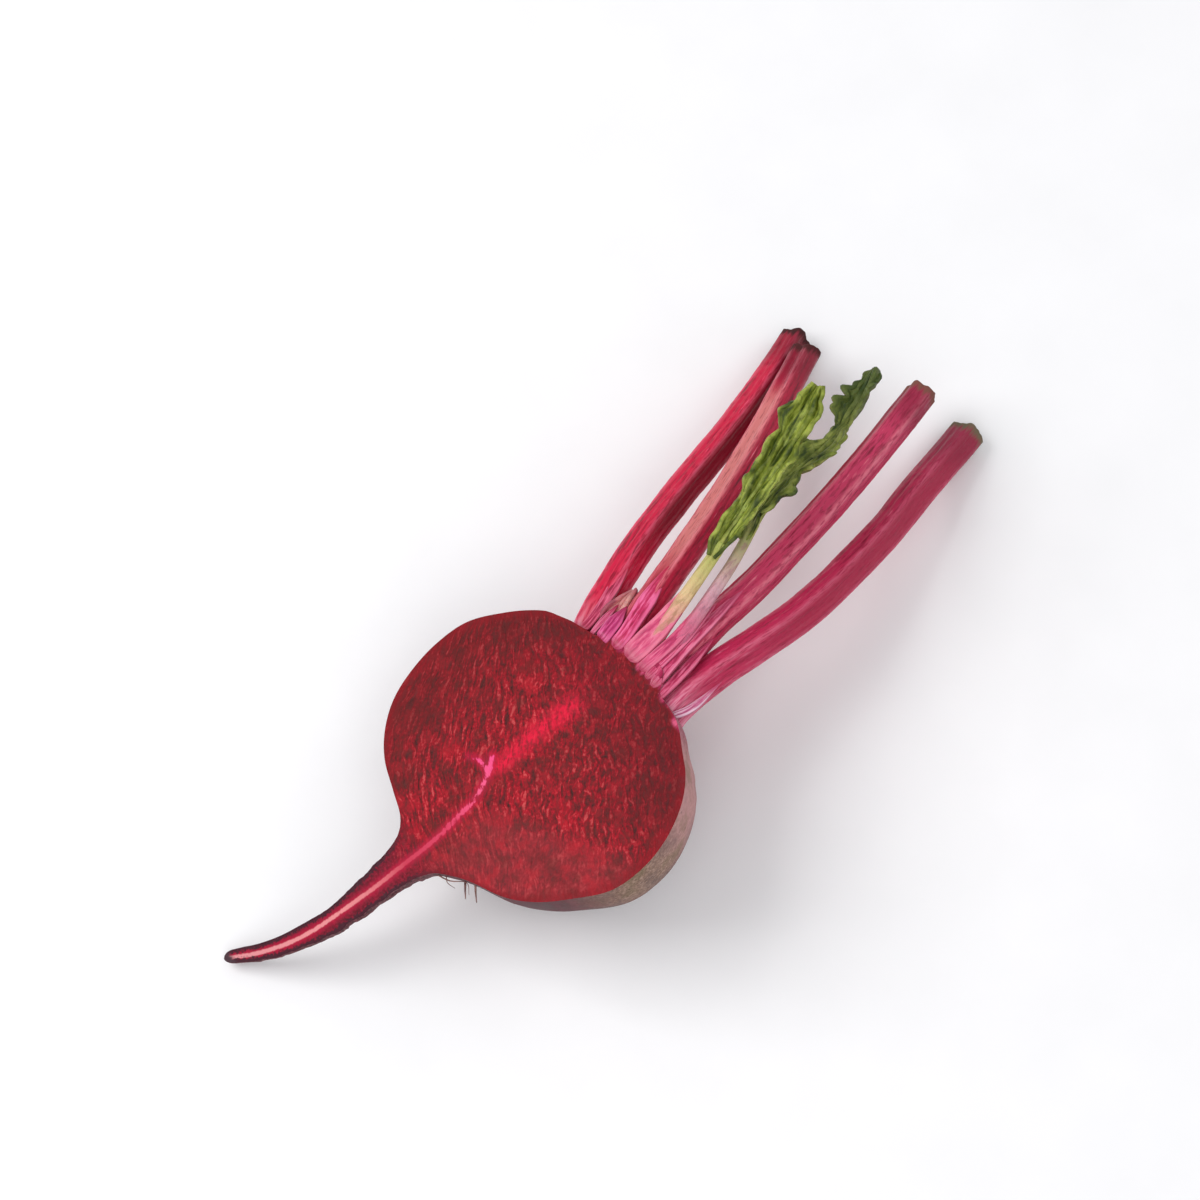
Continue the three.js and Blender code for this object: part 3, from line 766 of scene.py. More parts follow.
ROOT_SIDES = SKIN_SIDES + FACE_SIDES
root_faces, root_finish = root_faces_and_finish(ROOT_ROWS, ROOT_SIDES)
root_shape = roughen_root(root_flat, marks["around"], marks["rim"])
half_root = add_mesh("half_root_skin", root_shape, root_faces, marks, [skin, flesh], root_finish)
mark_rim_sharp(half_root.data, ROOT_ROWS, ROOT_SIDES)
attach(half_root, "half_root")

# %% [markdown]
# ## Stalks
# Each stalk of a cut-off leaf is a curved bar with a channel on its upper side and long ridges. A
# curve with a bevel would give a plain round bar, so it is lofted from rings too. First comes the
# helper that lays the rings' places and directions along a curved route, at even steps of its length.

# %% Follow a route with a turning section
# how many steps measure a route's length, and the small step that finds its direction
ROUTE_STEPS = 900
AHEAD = 0.002


def along_route(route, t, turn=0.0):
    """Places and directions of sections at fractions t of the route's real length."""
    run = np.linspace(0, 1, ROUTE_STEPS)
    line = spline(route, run)
    length = np.append(0, np.cumsum(np.linalg.norm(np.diff(line, axis=0), axis=1)))
    wanted = np.interp(np.asarray(t) * length[-1], length, run)
    centre = spline(route, wanted)
    ahead = spline(route, wanted + AHEAD) - spline(route, wanted - AHEAD)
    forward = ahead / np.linalg.norm(ahead, axis=1)[:, None]
    across = np.cross([0.0, 0.0, 1.0], forward)
    across /= np.linalg.norm(across, axis=1)[:, None]
    lift = np.cross(forward, across)
    turn = np.asarray(turn) + np.zeros(len(wanted))
    cosine, sine = np.cos(turn)[:, None], np.sin(turn)[:, None]
    return centre, forward, across * cosine + lift * sine, lift * cosine - across * sine, length[-1]


print("route helper ready")

# %% [markdown]
# The four stalks differ in route, width, channel, torn end and tone. The rest is alike, so they are
# four rows of values for one recipe, which is easier to compare and to correct than four shapes made
# by hand.

# %% Give the stalks
STALK_SIDES = 96
STALK_ROWS = 260
STALK_RIDGES = 5
RIDGE_RELIEF = 0.055
FINE_RIDGES = 17
FINE_RIDGE_RELIEF = 0.012
CHANNEL_SPREAD = 0.55
FLARE_LENGTH = 0.07
# height and scale of the soft swells and of the fine unevenness
STALK_SWELLS = [(0.16, 0.12), (0.05, 0.7)]
TORN_FROM = 0.975
TORN_WANDER = 0.5
END_HOLLOW = 0.4
NOTCH_DEPTH = 0.45
STREAK_LENGTH = 9.0
STREAKS_ROUND = 4.5
STALK_SEED_STEP = 11.0
# channel_turn is in radians from the top, and a channel_end above 1 runs out through the torn end
# The channel tone of petiole_1 and petiole_3 is a dark red that is painted shade in the hollow, and the
# ridge tone is partly a painted highlight on the crests.
PETIOLES = [
    {
        "name": "petiole_1",
        "route": [(20, 13, -7), (29.6, 18.3, -6.8), (46, 26.5, -12.2), (62.9, 35.2, -22.3),
                  (82.8, 44.5, -34.1), (97.5, 52.3, -43.0), (109.2, 59.2, -50.1)],
        "half_width": 3.8, "half_height": 3.5, "flare": 0.12,
        "channel_turn": 1.1, "channel_depth": 0.16, "channel_end": 1.2, "ragged": 1.0,
        "body": (206, 26, 66), "dark": (120, 10, 34), "ridge": (236, 100, 132),
        "channel": (128, 8, 34), "foot": (206, 66, 100), "end": (66, 26, 28),
    },
    {
        "name": "petiole_2",
        "route": [(24, 2.5, -7), (34.4, 8.7, -4.9), (43.9, 13.2, -8.1), (61.9, 22.4, -17.5),
                  (84.6, 35.6, -29.9), (108.1, 50.9, -42.8)],
        "half_width": 3.5, "half_height": 3.2, "flare": 0.3,
        "channel_turn": -0.35, "channel_depth": 0.34, "channel_end": 0.84, "ragged": 1.0,
        "body": (180, 18, 58), "dark": (112, 12, 36), "ridge": (232, 124, 140),
        "channel": (220, 132, 130), "foot": (206, 60, 108), "end": (78, 30, 32),
    },
    {
        "name": "petiole_3",
        "route": [(24, -5.5, -8), (31.9, -3.9, -7.3), (45.8, 0.5, -11.9), (64.1, 5, -20.5),
                  (93, 14.5, -34.6), (120.6, 25.3, -47.7)],
        "half_width": 3.9, "half_height": 3.4, "flare": 0.2,
        "channel_turn": -0.95, "channel_depth": 0.24, "channel_end": 1.2, "ragged": 0.3,
        "body": (196, 56, 94), "dark": (128, 22, 50), "ridge": (232, 128, 146),
        "channel": (138, 16, 40), "foot": (200, 70, 110), "end": (124, 76, 66),
    },
    {
        "name": "petiole_4",
        "route": [(21, -12, -7.5), (29.3, -10.8, -6.4), (41.4, -8.9, -12.3), (65, -5.3, -27.7),
                  (88.7, 2.3, -42.4), (103.1, 8.5, -51), (122.7, 16.7, -63)],
        "half_width": 4.2, "half_height": 3.6, "flare": 0.25,
        "channel_turn": 0.9, "channel_depth": 0.14, "channel_end": 1.2, "ragged": 1.2,
        "body": (190, 42, 84), "dark": (136, 22, 54), "ridge": (224, 110, 140),
        "channel": (166, 30, 66), "foot": (206, 82, 124), "end": (112, 100, 78),
    },
]
print(len(PETIOLES), "stalks")

# %% [markdown]
# A stalk's skin is smooth and taut, crimson to magenta, with long pale and dark streaks. The noise is
# read in places along and round the stalk, so that the streaks follow every bend. Ridges are painted
# pinker, partly as paler tissue and partly as a painted highlight along the crests. The channel has its
# own tone; on petiole_1 and petiole_3 it is a dark red, painted shade in the hollow. The foot turns
# pale and the torn end dries to brown.

# %% Make the stalk finish
FOOT_PALE = (240, 170, 190)


def stalk_finish(stalk):
    bark = Finish(stalk["name"] + "_finish", roughness=0.36)
    bark.shine(0.28)
    lengthwise = bark.vector("streak")
    streak = bark.noise(lengthwise, 1.0, detail=3.0, rough=0.6)
    fine = bark.noise(bark.scaled(lengthwise, (3.0, 3.2, 1.0)), 1.0, detail=2.0)
    run = bark.value("run")
    away = bark.value("away")
    tone = bark.ramp(streak, [
        (0.3, stalk["dark"]),
        (0.46, stalk["body"]),
        (0.62, stalk["body"]),
        (0.78, stalk["ridge"]),
    ])
    # Partly painted highlight: the crests take the pale ridge tone, as paler tissue and as light along them.
    crest_tone_and_highlight = bark.times(bark.value("crest"), bark.step(fine, 0.35, 0.65, 0.2, 0.75))
    tone = bark.mix(crest_tone_and_highlight, tone, stalk["ridge"])
    # Painted shade: on petiole_1 and petiole_3 the dark red channel tone stands for shade in the hollow; on
    # the other stalks it is the channel's own tone.
    before_end = bark.step(run, stalk["channel_end"] + 0.05, stalk["channel_end"] - 0.05)
    channel_tone_and_shade = bark.times(bark.step(away, 0.95, 0.35), before_end)
    channel_tone_and_shade = bark.times(channel_tone_and_shade, bark.step(run, 0.22, 0.40, 0.15, 0.9))
    tone = bark.mix(channel_tone_and_shade, tone, stalk["channel"])
    tone = bark.mix(bark.step(fine, 0.46, 0.34, 0.0, 0.45), tone, stalk["dark"])
    tone = bark.mix(bark.step(run, 0.84, 0.94, 0.0, 0.65), tone, stalk["dark"])
    foot_tone = bark.ramp(fine, [(0.35, stalk["foot"]), (0.65, FOOT_PALE)])
    tone = bark.mix(bark.step(run, 0.16, 0.02, 0.0, 0.8), tone, foot_tone)
    uneven_run = bark.sum(run, bark.step(streak, 0.2, 0.8, -0.012, 0.012))
    torn = bark.step(uneven_run, 0.972, 0.993)
    tone = bark.mix(torn, tone, stalk["end"])
    bark.paint(tone)
    bark.gloss(bark.step(torn, 0.0, 1.0, 0.36, 0.8))
    bark.bump(bark.sum(streak, bark.times(fine, 0.4)), 0.35, 0.5)
    bark.soften(0.05, 1.2)
    return bark


print("stalk finish ready")

# %% [markdown]
# Each ring starts as an oval. The channel is pressed into it, ridges are raised on it, the first rings
# flare into the foot, and the last rings are pulled to and fro so that the end looks torn, not sawn.

# %% Build the stalks
def stalk_section(stalk, angle):
    """The outline of one section, with each place's angle from the channel and its share of a ridge."""
    from_channel = angle - math.pi / 2 - stalk["channel_turn"]
    away = np.arctan2(np.sin(from_channel), np.cos(from_channel))
    channel = stalk["channel_depth"] * bell(away, CHANNEL_SPREAD)
    crest = np.cos(STALK_RIDGES * away + math.pi)
    fine_crest = np.cos(FINE_RIDGES * away)
    radius = 1 - channel + RIDGE_RELIEF * crest + FINE_RIDGE_RELIEF * fine_crest
    return radius, away, np.clip(crest, 0, 1) ** 2


def torn_edge(stalk, angle, seed):
    """How far each place of the torn end stands out or back, in millimetres."""
    round_places = np.stack([np.cos(angle) * 2.2, np.sin(angle) * 2.2, angle * 0 + seed], axis=1)
    notches = NOTCH_DEPTH * stalk["ragged"] * np.sin(3 * angle + stalk["channel_turn"])
    return notches + TORN_WANDER * wander(round_places, 1.0)


def build_stalk(stalk, seed):
    t = np.linspace(0, 1, STALK_ROWS)
    centre, forward, across, lift, length = along_route(stalk["route"], t)
    angle = ring_angles(STALK_SIDES)
    radius, away, crest = stalk_section(stalk, angle)
    reach = (1 + stalk["flare"] * np.exp(-t / FLARE_LENGTH))[:, None] * radius[None, :]
    wide = reach * stalk["half_width"] * np.cos(angle)
    high = reach * stalk["half_height"] * np.sin(angle)
    shape = rings(centre, across, lift, wide, high)
    points = shape.reshape(-1, 3)
    outward = (shape - centre[:, None]).reshape(-1, 3)
    outward /= np.linalg.norm(outward, axis=1)[:, None]
    swell = sum(height * wander(points, scale, seed) for height, scale in STALK_SWELLS)
    points = points + outward * swell[:, None]
    pull = smoothstep(t, TORN_FROM, 1.0)[:, None] * torn_edge(stalk, angle, seed)[None, :]
    points += (forward[:, None] * pull[:, :, None]).reshape(-1, 3)
    ends = np.array([centre[0], centre[-1] - forward[-1] * END_HOLLOW])
    run = np.append(np.repeat(t, STALK_SIDES), [0.0, 1.0])
    around = np.append(np.tile(away, STALK_ROWS), [math.pi, math.pi])
    streak = [
        run * length / STREAK_LENGTH,
        np.sin(around) * STREAKS_ROUND,
        np.cos(around) * STREAKS_ROUND + seed,
    ]
    values = {
        "run": run,
        "away": np.abs(around),
        "crest": np.append(np.tile(crest, STALK_ROWS), [0.0, 0.0]),
        "streak": np.stack(streak, axis=1),
    }
    faces = loft_faces(STALK_ROWS, STALK_SIDES)
    finish = stalk_finish(stalk)
    piece = add_mesh(stalk["name"] + "_bark", np.vstack([points, ends]), faces, values, [finish])
    attach(piece, stalk["name"])


for number, stalk in enumerate(PETIOLES, 1):
    build_stalk(stalk, seed=STALK_SEED_STEP * number)

# %% [markdown]
# ## Leaf bases on the crown
# The young leaves and stalks grow out of the crown as flat, pale pink bases, packed side by side like
# the foot of a celery stick. Painted streaks would look flat there, so each base is a low loft that
# starts on the cut and narrows into its stalk. Its deepest tone is worked out from its body tone.

# %% Give the leaf bases
BASE_SIDES = 28
BASE_ROWS = 60
BASE_FOOT_SHARE = 0.05
BASE_POINT_SHARE = 0.45
BASE_GROOVE = 0.35
BASE_GROOVE_SPREAD = 0.25
BASE_RIDGES = 9
BASE_RIDGE_RELIEF = 0.06
BASE_STREAK_LENGTH = 6.0
BASE_STREAKS_ACROSS = 2.4
BASE_SEED_STEP = 3.0
# what is left of red, green and blue in a base's deepest tone
DEEPER = (0.78, 0.55, 0.72)
LEAF_BASES = [
    {
        "name": "base_young_leaf_1", "lift": 0.9,
        "route": [(29.0, 2.4, -0.3), (31.3, 2.3, -0.15), (34.5, 2.6, -0.6), (42, 4.2, -2.6),
                  (56, 7.6, -4.1)],
        "widths": [2.7, 2.9, 2.4, 1.8, 1.4],
        "body": (210, 70, 116), "light": (236, 128, 156), "far": (222, 150, 128),
    },
    {
        "name": "base_young_leaf_2", "lift": 0.9,
        "route": [(29.3, -1.9, -0.3), (31.6, -2.0, -0.2), (35, -1.8, -0.9), (42, -0.2, -3.8),
                  (54, 3.4, -6.8)],
        "widths": [1.5, 1.6, 1.5, 1.5, 1.3],
        "body": (204, 60, 110), "light": (234, 120, 152), "far": (212, 108, 136),
    },
    {
        "name": "base_young_leaf_2_low", "lift": 0.8,
        "route": [(29.0, -4.4, -0.3), (31.2, -4.2, -0.3), (35, -3.6, -1.4), (42, -1.6, -4.9),
                  (52, 1.4, -8.2)],
        "widths": [1.1, 1.1, 1.1, 1.0, 0.8],
        "body": (196, 46, 96), "light": (242, 128, 164), "far": (200, 86, 120),
    },
    {
        "name": "base_petiole_3", "lift": 0.9,
        "route": [(28.6, -6.8, -0.3), (31.0, -6.5, -0.5), (35, -5.2, -2.0), (44, -2.0, -6.6),
                  (60, 3.2, -15.4)],
        "widths": [1.5, 1.4, 1.5, 1.5, 1.2],
        "body": (196, 50, 98), "light": (242, 132, 166), "far": (206, 74, 116),
    },
    {
        "name": "base_petiole_3_low", "lift": 0.8,
        "route": [(27.9, -9.4, -0.5), (30.4, -9.2, -1.0), (35, -7.8, -3.6), (46, -3.6, -9.8)],
        "widths": [1.3, 1.3, 1.4, 1.2],
        "body": (182, 40, 86), "light": (230, 112, 148), "far": (196, 60, 104),
    },
    {
        "name": "base_petiole_2", "lift": 0.9,
        "route": [(28.5, 6.6, -0.3), (30.8, 6.7, -0.15), (35, 8.2, -1.3), (50, 16.2, -8.2)],
        "widths": [1.8, 2.0, 2.3, 1.8],
        "body": (196, 26, 88), "light": (240, 110, 160), "far": (190, 22, 66),
    },
    {
        "name": "base_bud", "lift": 0.8,
        "route": [(27.7, 10.2, -0.5), (30.2, 10.6, -0.3), (37.0, 13.6, -3.6)],
        "widths": [1.8, 1.9, 1.2],
        "body": (178, 20, 96), "light": (226, 96, 152), "far": (170, 22, 78),
    },
    {
        "name": "base_arc", "lift": 0.7,
        "route": [(26.9, 12.9, -0.8), (29.4, 13.3, -0.7), (36.0, 15.6, -4.2)],
        "widths": [0.5, 0.9, 0.7],
        "body": (186, 44, 96), "light": (232, 124, 156), "far": (176, 30, 76),
    },
    {
        "name": "base_petiole_1", "lift": 0.9,
        "route": [(26.0, 15.6, -0.8), (28.9, 16.0, -1.8), (35, 18.9, -4.6), (46, 25.0, -9.4)],
        "widths": [1.2, 1.3, 1.6, 1.2],
        "body": (170, 24, 70), "light": (228, 104, 138), "far": (192, 26, 64),
    },
    {
        "name": "base_petiole_4", "lift": 0.5,
        "route": [(25.2, -12.4, -1.6), (28.6, -14.2, -3.2), (33.0, -14.6, -5.6), (41.0, -12.8, -9.6)],
        "widths": [0.5, 1.0, 0.9, 0.5],
        "body": (196, 96, 136), "light": (230, 196, 212), "far": (190, 60, 104),
    },
]
print(len(LEAF_BASES), "leaf bases")

# %% [markdown]
# Seen close, a base is a strip of wet tissue: deep in the middle and bright along its shoulders. Where
# it meets the next one it is darkened, which is painted shade in the gap between the strips. Those lines
# follow the side of the strip, so they need no picture.

# %% Make the leaf bases' finish
BASE_CUT = (150, 22, 58)


def base_finish(base):
    tissue = Finish(base["name"] + "_finish", roughness=0.42)
    streak = tissue.noise(tissue.vector("streak"), 1.0, detail=3.0, rough=0.6)
    side = tissue.value("side")
    run = tissue.value("run")
    deep = tuple(int(channel * share) for channel, share in zip(base["body"], DEEPER))
    tone = tissue.ramp(streak, [(0.34, deep), (0.48, base["body"]), (0.64, base["light"])])
    tone = tissue.mix(tissue.step(side, 0.45, 0.85, 0.0, 0.8), tone, base["light"])
    # Painted shade: the strip darkens at its edges, where it meets the next one, as shade in the gap between
    # them.
    tone = tissue.mix(tissue.step(side, 0.90, 1.0, 0.0, 0.8), tone, deep)
    tone = tissue.mix(tissue.step(run, 0.55, 1.0), tone, base["far"])
    tone = tissue.mix(tissue.step(run, 0.14, 0.0, 0.0, 0.75), tone, BASE_CUT)
    tissue.paint(tone)
    tissue.bump(streak, 0.35, 0.6)
    tissue.soften(0.1, 1.0)
    return tissue


print("finish for the leaf bases ready")

# %% [markdown]
# The strip is a flat oval in section, with a shallow groove along its top. Its foot is blunt, because
# it was cut, and its far end runs out to a point along its stalk. A flattened cylinder would need as
# much reshaping, so it is lofted like the stalks.

# %% Build the leaf bases
def widths_along(widths, fraction):
    """Smooth width at each fraction of a run, from a few widths spread evenly along it."""
    return spline(np.array(widths, dtype=float)[:, None], fraction)[:, 0]


def build_base(base, seed):
    t = np.linspace(0, 1, BASE_ROWS)
    centre, _, across, lift, length = along_route(base["route"], t)
    angle = ring_angles(BASE_SIDES)
    foot = np.clip(t / BASE_FOOT_SHARE, 0, 1) ** 0.5
    point = np.clip((1 - t) / BASE_POINT_SHARE, 0, 1) ** 0.6
    groove = BASE_GROOVE * bell(np.sin(angle) - 1, BASE_GROOVE_SPREAD)
    section = 1 - groove + BASE_RIDGE_RELIEF * np.cos(BASE_RIDGES * angle)
    wide = (widths_along(base["widths"], t) * foot * point)[:, None] * np.cos(angle)
    high = (base["lift"] * foot * point)[:, None] * section * np.sin(angle)
    points = rings(centre, across, lift, wide, high).reshape(-1, 3)
    ends = np.array([centre[0], centre[-1]])
    run = np.append(np.repeat(t, BASE_SIDES), [0.0, 1.0])
    side = np.append(np.tile(np.cos(angle), BASE_ROWS), [0.0, 0.0])
    streak = [run * length / BASE_STREAK_LENGTH, side * BASE_STREAKS_ACROSS, np.full_like(run, seed)]
    values = {"run": run, "side": np.abs(side), "streak": np.stack(streak, axis=1)}
    faces = loft_faces(BASE_ROWS, BASE_SIDES)
    piece = add_mesh(base["name"], np.vstack([points, ends]), faces, values, [base_finish(base)])
    attach(piece, "half_root")


for number, base in enumerate(LEAF_BASES):
    build_base(base, seed=BASE_SEED_STEP * number)

# %% [markdown]
# ## Fine root hairs
# Where the bulb narrows to the tail, thin side roots stick out below the cut. Hair strands would not
# survive an export, and there are only four, so each is a small tapering tube along its own curve.

# %% Grow the root hairs
HAIR_SIDES = 8
HAIR_ROWS = 24
HAIR_TAPER = 0.75
ROOT_HAIRS = [
    {"route": [(-26.9, -10.0, -2.5), (-29.0, -12.2, -3.2), (-30.7, -14.0, -4.4)], "foot": 0.4},
    {"route": [(-28.2, -8.0, -2.5), (-30.2, -10.0, -3.0), (-32.0, -11.6, -4.2)], "foot": 0.4},
    {
        "route": [(-33.2, -3.2, -1.2), (-31.8, -7.0, -1.6), (-29.3, -10.0, -2.0), (-30.7, -12.3, -2.6)],
        "foot": 0.2,
    },
    {"route": [(-31.0, -5.0, -1.4), (-32.4, -6.8, -1.8), (-32.0, -9.0, -2.2)], "foot": 0.16},
]


def hair_finish():
    hair = Finish("root_hair", roughness=0.7)
    speckle = hair.noise(hair.vector("grown"), 1.2, detail=2.0)
    hair.paint(hair.ramp(speckle, [(0.35, (88, 50, 48)), (0.65, (140, 100, 92))]))
    return hair


def build_hair(name, hair, finish):
    t = np.linspace(0, 1, HAIR_ROWS)
    centre, _, across, lift, _ = along_route(hair["route"], t)
    angle = ring_angles(HAIR_SIDES)
    radius = (hair["foot"] * (1 - HAIR_TAPER * t))[:, None]
    points = rings(centre, across, lift, radius * np.cos(angle), radius * np.sin(angle))
    points = np.vstack([points.reshape(-1, 3), centre[0], centre[-1]])
    piece = add_mesh(name, points, loft_faces(HAIR_ROWS, HAIR_SIDES), {"grown": points}, [finish])
    attach(piece, "half_root")


root_hair = hair_finish()
for number, hair in enumerate(ROOT_HAIRS, 1):
    build_hair(f"root_hair_{number}", hair, root_hair)

# %% [markdown]
# ## Young leaves
# A young leaf is a thin stalk that runs on as the midrib of a folded, crinkled blade. A flat plane
# with a leaf picture would look like paper, so the blade is a grid: its widths come from a list, its
# halves fold up, and ruffles and puckers move its points. The dried scale at the crown is a small torn
# leaf, so the same recipe makes it.

# %% Give the leaves
BLADE_THICKNESS = 0.8
BLADE_ROWS = 150
BLADE_COLUMNS = 48
MIDRIB_SPREAD = 0.2
LEAF_STALK_SIDES = 32
LEAF_STALK_ROWS = 90
LEAF_STALK_OVERLAP = 0.05
# lengths in millimetres of one wave of each kind of unevenness
NOTCH_LENGTH = 4.2
CURL_LENGTH = 1.9
RUFFLE_LENGTH = 5.0
FOLD_LENGTH = 11.0
PUCKER_LENGTH = 3.2
LEAF_STREAK_LENGTH = 6.5
# how many waves fit between the midrib and the margin, and the heights in millimetres
FOLDS_ACROSS = 3.4
PUCKERS_ACROSS = 3.2
RUFFLE_HEIGHT = 1.6
FOLD_HEIGHT = 1.9
PUCKER_HEIGHT = 0.6
# keeps the noise of the two margins apart
MARGIN_GAP = 20.0
# left and right are the margins' distances from the midrib, and fold and roll are in radians
YOUNG_LEAVES = [
    {
        "name": "young_leaf_1", "slot": "beet_leaf",
        "route": [(26, -0.5, -4.5), (35.5, 1.9, -2.6), (54.7, 7.1, -3.5), (67.8, 10.9, -4.3),
                  (85.8, 16.5, -5.1), (101, 22.3, -5.5)],
        "foot_radius": 1.9, "tip_radius": 0.6, "blade_start": 0.42,
        "left": [1.2, 3.4, 3.0, 4.4, 3.8, 4.8, 4.4, 2.0],
        "right": [1.0, 2.6, 4.0, 4.4, 5.4, 5.2, 5.6, 2.0],
        "fold": 0.75, "roll": 0.25, "ruffle": 1.2, "lobes": 0.42, "curl": 0.4, "seed": 2.0,
        "light": (168, 180, 78), "body": (110, 122, 34), "dark": (54, 70, 14), "vein": (178, 188, 98),
        "tip_shade": 0.0, "stem_shade": (156, 128, 70),
        "stem": [(0.0, (226, 108, 142)), (0.19, (232, 146, 150)), (0.29, (224, 192, 144)),
                 (0.44, (176, 182, 92))],
    },
    {
        "name": "young_leaf_2", "slot": "beet_leaf",
        "route": [(26, -4.5, -4.6), (36.1, -2.5, -3.7), (58.7, 5, -7.4), (77, 12.3, -10.2),
                  (94.2, 14.7, -14.9), (107.4, 18.9, -17.3), (114, 21.9, -18.1)],
        "foot_radius": 1.7, "tip_radius": 0.6, "blade_start": 0.45,
        "left": [1.0, 3.2, 4.4, 4.6, 5.2, 2.0, 3.6, 3.2, 1.4],
        "right": [1.0, 2.8, 4.2, 5.0, 6.2, 5.0, 1.8, 3.0, 1.4],
        "fold": 0.55, "roll": -0.2, "ruffle": 1.5, "lobes": 0.9, "curl": 1.2, "seed": 9.0,
        "light": (168, 176, 88), "body": (116, 128, 46), "dark": (48, 66, 18), "vein": (170, 178, 100),
        "tip_shade": 0.8, "stem_shade": (150, 92, 112),
        "stem": [(0.0, (210, 70, 118)), (0.19, (212, 104, 136)), (0.31, (208, 162, 172)),
                 (0.46, (164, 166, 100))],
    },
]
SCALE = {
    "name": "crown_scale", "slot": "beet_scale",
    "route": [(24, 11, -6), (31.5, 13.6, -4.6), (36.2, 15.0, -5.0), (40.4, 16.6, -7.2)],
    "foot_radius": 0.7, "tip_radius": 0.5, "blade_start": 0.12,
    "left": [2.6, 2.8, 2.0, 0.9],
    "right": [2.6, 2.6, 1.4, 0.5],
    "fold": 0.5, "roll": 0.1, "ruffle": 0.3, "lobes": 0.3, "curl": 0.0, "seed": 4.0,
    "light": (222, 160, 150), "body": (204, 120, 126), "dark": (162, 76, 92), "vein": (222, 166, 150),
    "tip_shade": 0.3, "stem_shade": (150, 60, 90),
    "stem": [(0.0, (180, 50, 100)), (0.5, (196, 80, 120)), (0.8, (220, 160, 150)), (1.0, (150, 120, 90))],
}
print(len(YOUNG_LEAVES), "leaves and one scale")

# %% [markdown]
# A young leaf is fresh green, darker in its hollows, with pale veins that branch off the midrib. The
# veins are waves of the distance along the leaf, slanted by the distance from the midrib, so they turn
# with the blade. The stalk goes from pink at the crown to green, by a ramp along its run.

# %% Make the leaf finish
def leaf_finish(leaf):
    blade = Finish(leaf["name"] + "_finish", roughness=0.5)
    blade.shine(0.35)
    grown = blade.vector("grown")
    side = blade.value("side")
    run = blade.value("run")
    cells = blade.noise(grown, 0.8, detail=4.0, rough=0.65)
    broad = blade.noise(blade.vector("streak"), 1.0, detail=3.0)
    green = blade.ramp(broad, [(0.36, leaf["dark"]), (0.48, leaf["body"]), (0.62, leaf["light"])])
    green = blade.mix(blade.step(cells, 0.50, 0.66, 0.0, 0.55), green, leaf["dark"])
    slant = blade.sum(blade.times(run, 70.0), blade.times(side, -3.2))
    wavy = blade.sum(slant, blade.times(cells, 3.0))
    branch = blade.node("ShaderNodeMath", {0: wavy}, operation="SINE")
    veins = blade.times(blade.step(branch, 0.80, 1.0), blade.step(side, 1.0, 0.1, 0.05, 0.35))
    green = blade.mix(veins, green, leaf["vein"])
    green = blade.mix(blade.step(side, 0.16, 0.03, 0.0, 0.45), green, leaf["vein"])
    green = blade.mix(blade.step(run, 0.76, 0.94, 0.0, leaf["tip_shade"]), green, leaf["dark"])
    stem = blade.ramp(run, leaf["stem"])
    stem = blade.mix(blade.step(broad, 0.48, 0.62, 0.0, 0.45), stem, leaf["stem_shade"])
    tone = blade.mix(blade.value("stalk"), green, stem)
    blade.paint(tone)
    blade.bump(blade.sum(cells, blade.times(veins, 0.4)), 0.6, 0.7)
    blade.soften(0.12, 0.8)
    return blade


print("leaf finish ready")

# %% [markdown]
# The blade starts as a grid of places, with one row across the leaf at each step along it. Notches cut
# into its margins, its halves fold up from the midrib, and folds, ruffles and puckers lift it. Noise
# moves the points, since a real leaf never repeats, and its seed keeps the result the same each time.

# %% Shape the middle of a leaf blade
def crinkle(first, second, seed):
    """Smooth noise over two coordinates, which are spread over each other's rows and columns."""
    first, second = np.broadcast_arrays(first, second)
    places = np.stack([first, second, np.full(first.shape, seed)], axis=2)
    return wander(places.reshape(-1, 3), 1.0).reshape(first.shape)


def blade_reach(leaf, fraction, side, run):
    """How far the blade reaches from its midrib, in millimetres, with notches in its margins."""
    left = widths_along(leaf["left"], fraction)[:, None]
    right = widths_along(leaf["right"], fraction)[:, None]
    margin = np.sign(side) * MARGIN_GAP
    notches = crinkle(run / NOTCH_LENGTH, margin, leaf["seed"])
    notches += leaf["curl"] * fraction[:, None] * crinkle(run / CURL_LENGTH, margin + 3, leaf["seed"])
    width = np.where(side < 0, left, right)
    return np.abs(side) * width * (1 + leaf["lobes"] * notches * np.abs(side) ** 2)


def blade_lift(leaf, side, run):
    """How far the ruffles, folds and puckers lift the blade, in millimetres."""
    seed = leaf["seed"]
    ruffles = crinkle(run / RUFFLE_LENGTH, np.sign(side) * MARGIN_GAP + 7, seed)
    folds = crinkle(run / FOLD_LENGTH, FOLDS_ACROSS * side, seed + 3)
    puckers = crinkle(run / PUCKER_LENGTH, PUCKERS_ACROSS * side, seed + 5)
    push = (FOLD_HEIGHT * folds + PUCKER_HEIGHT * puckers) * np.abs(side) ** 0.5
    return push + RUFFLE_HEIGHT * leaf["ruffle"] * side ** 2 * ruffles


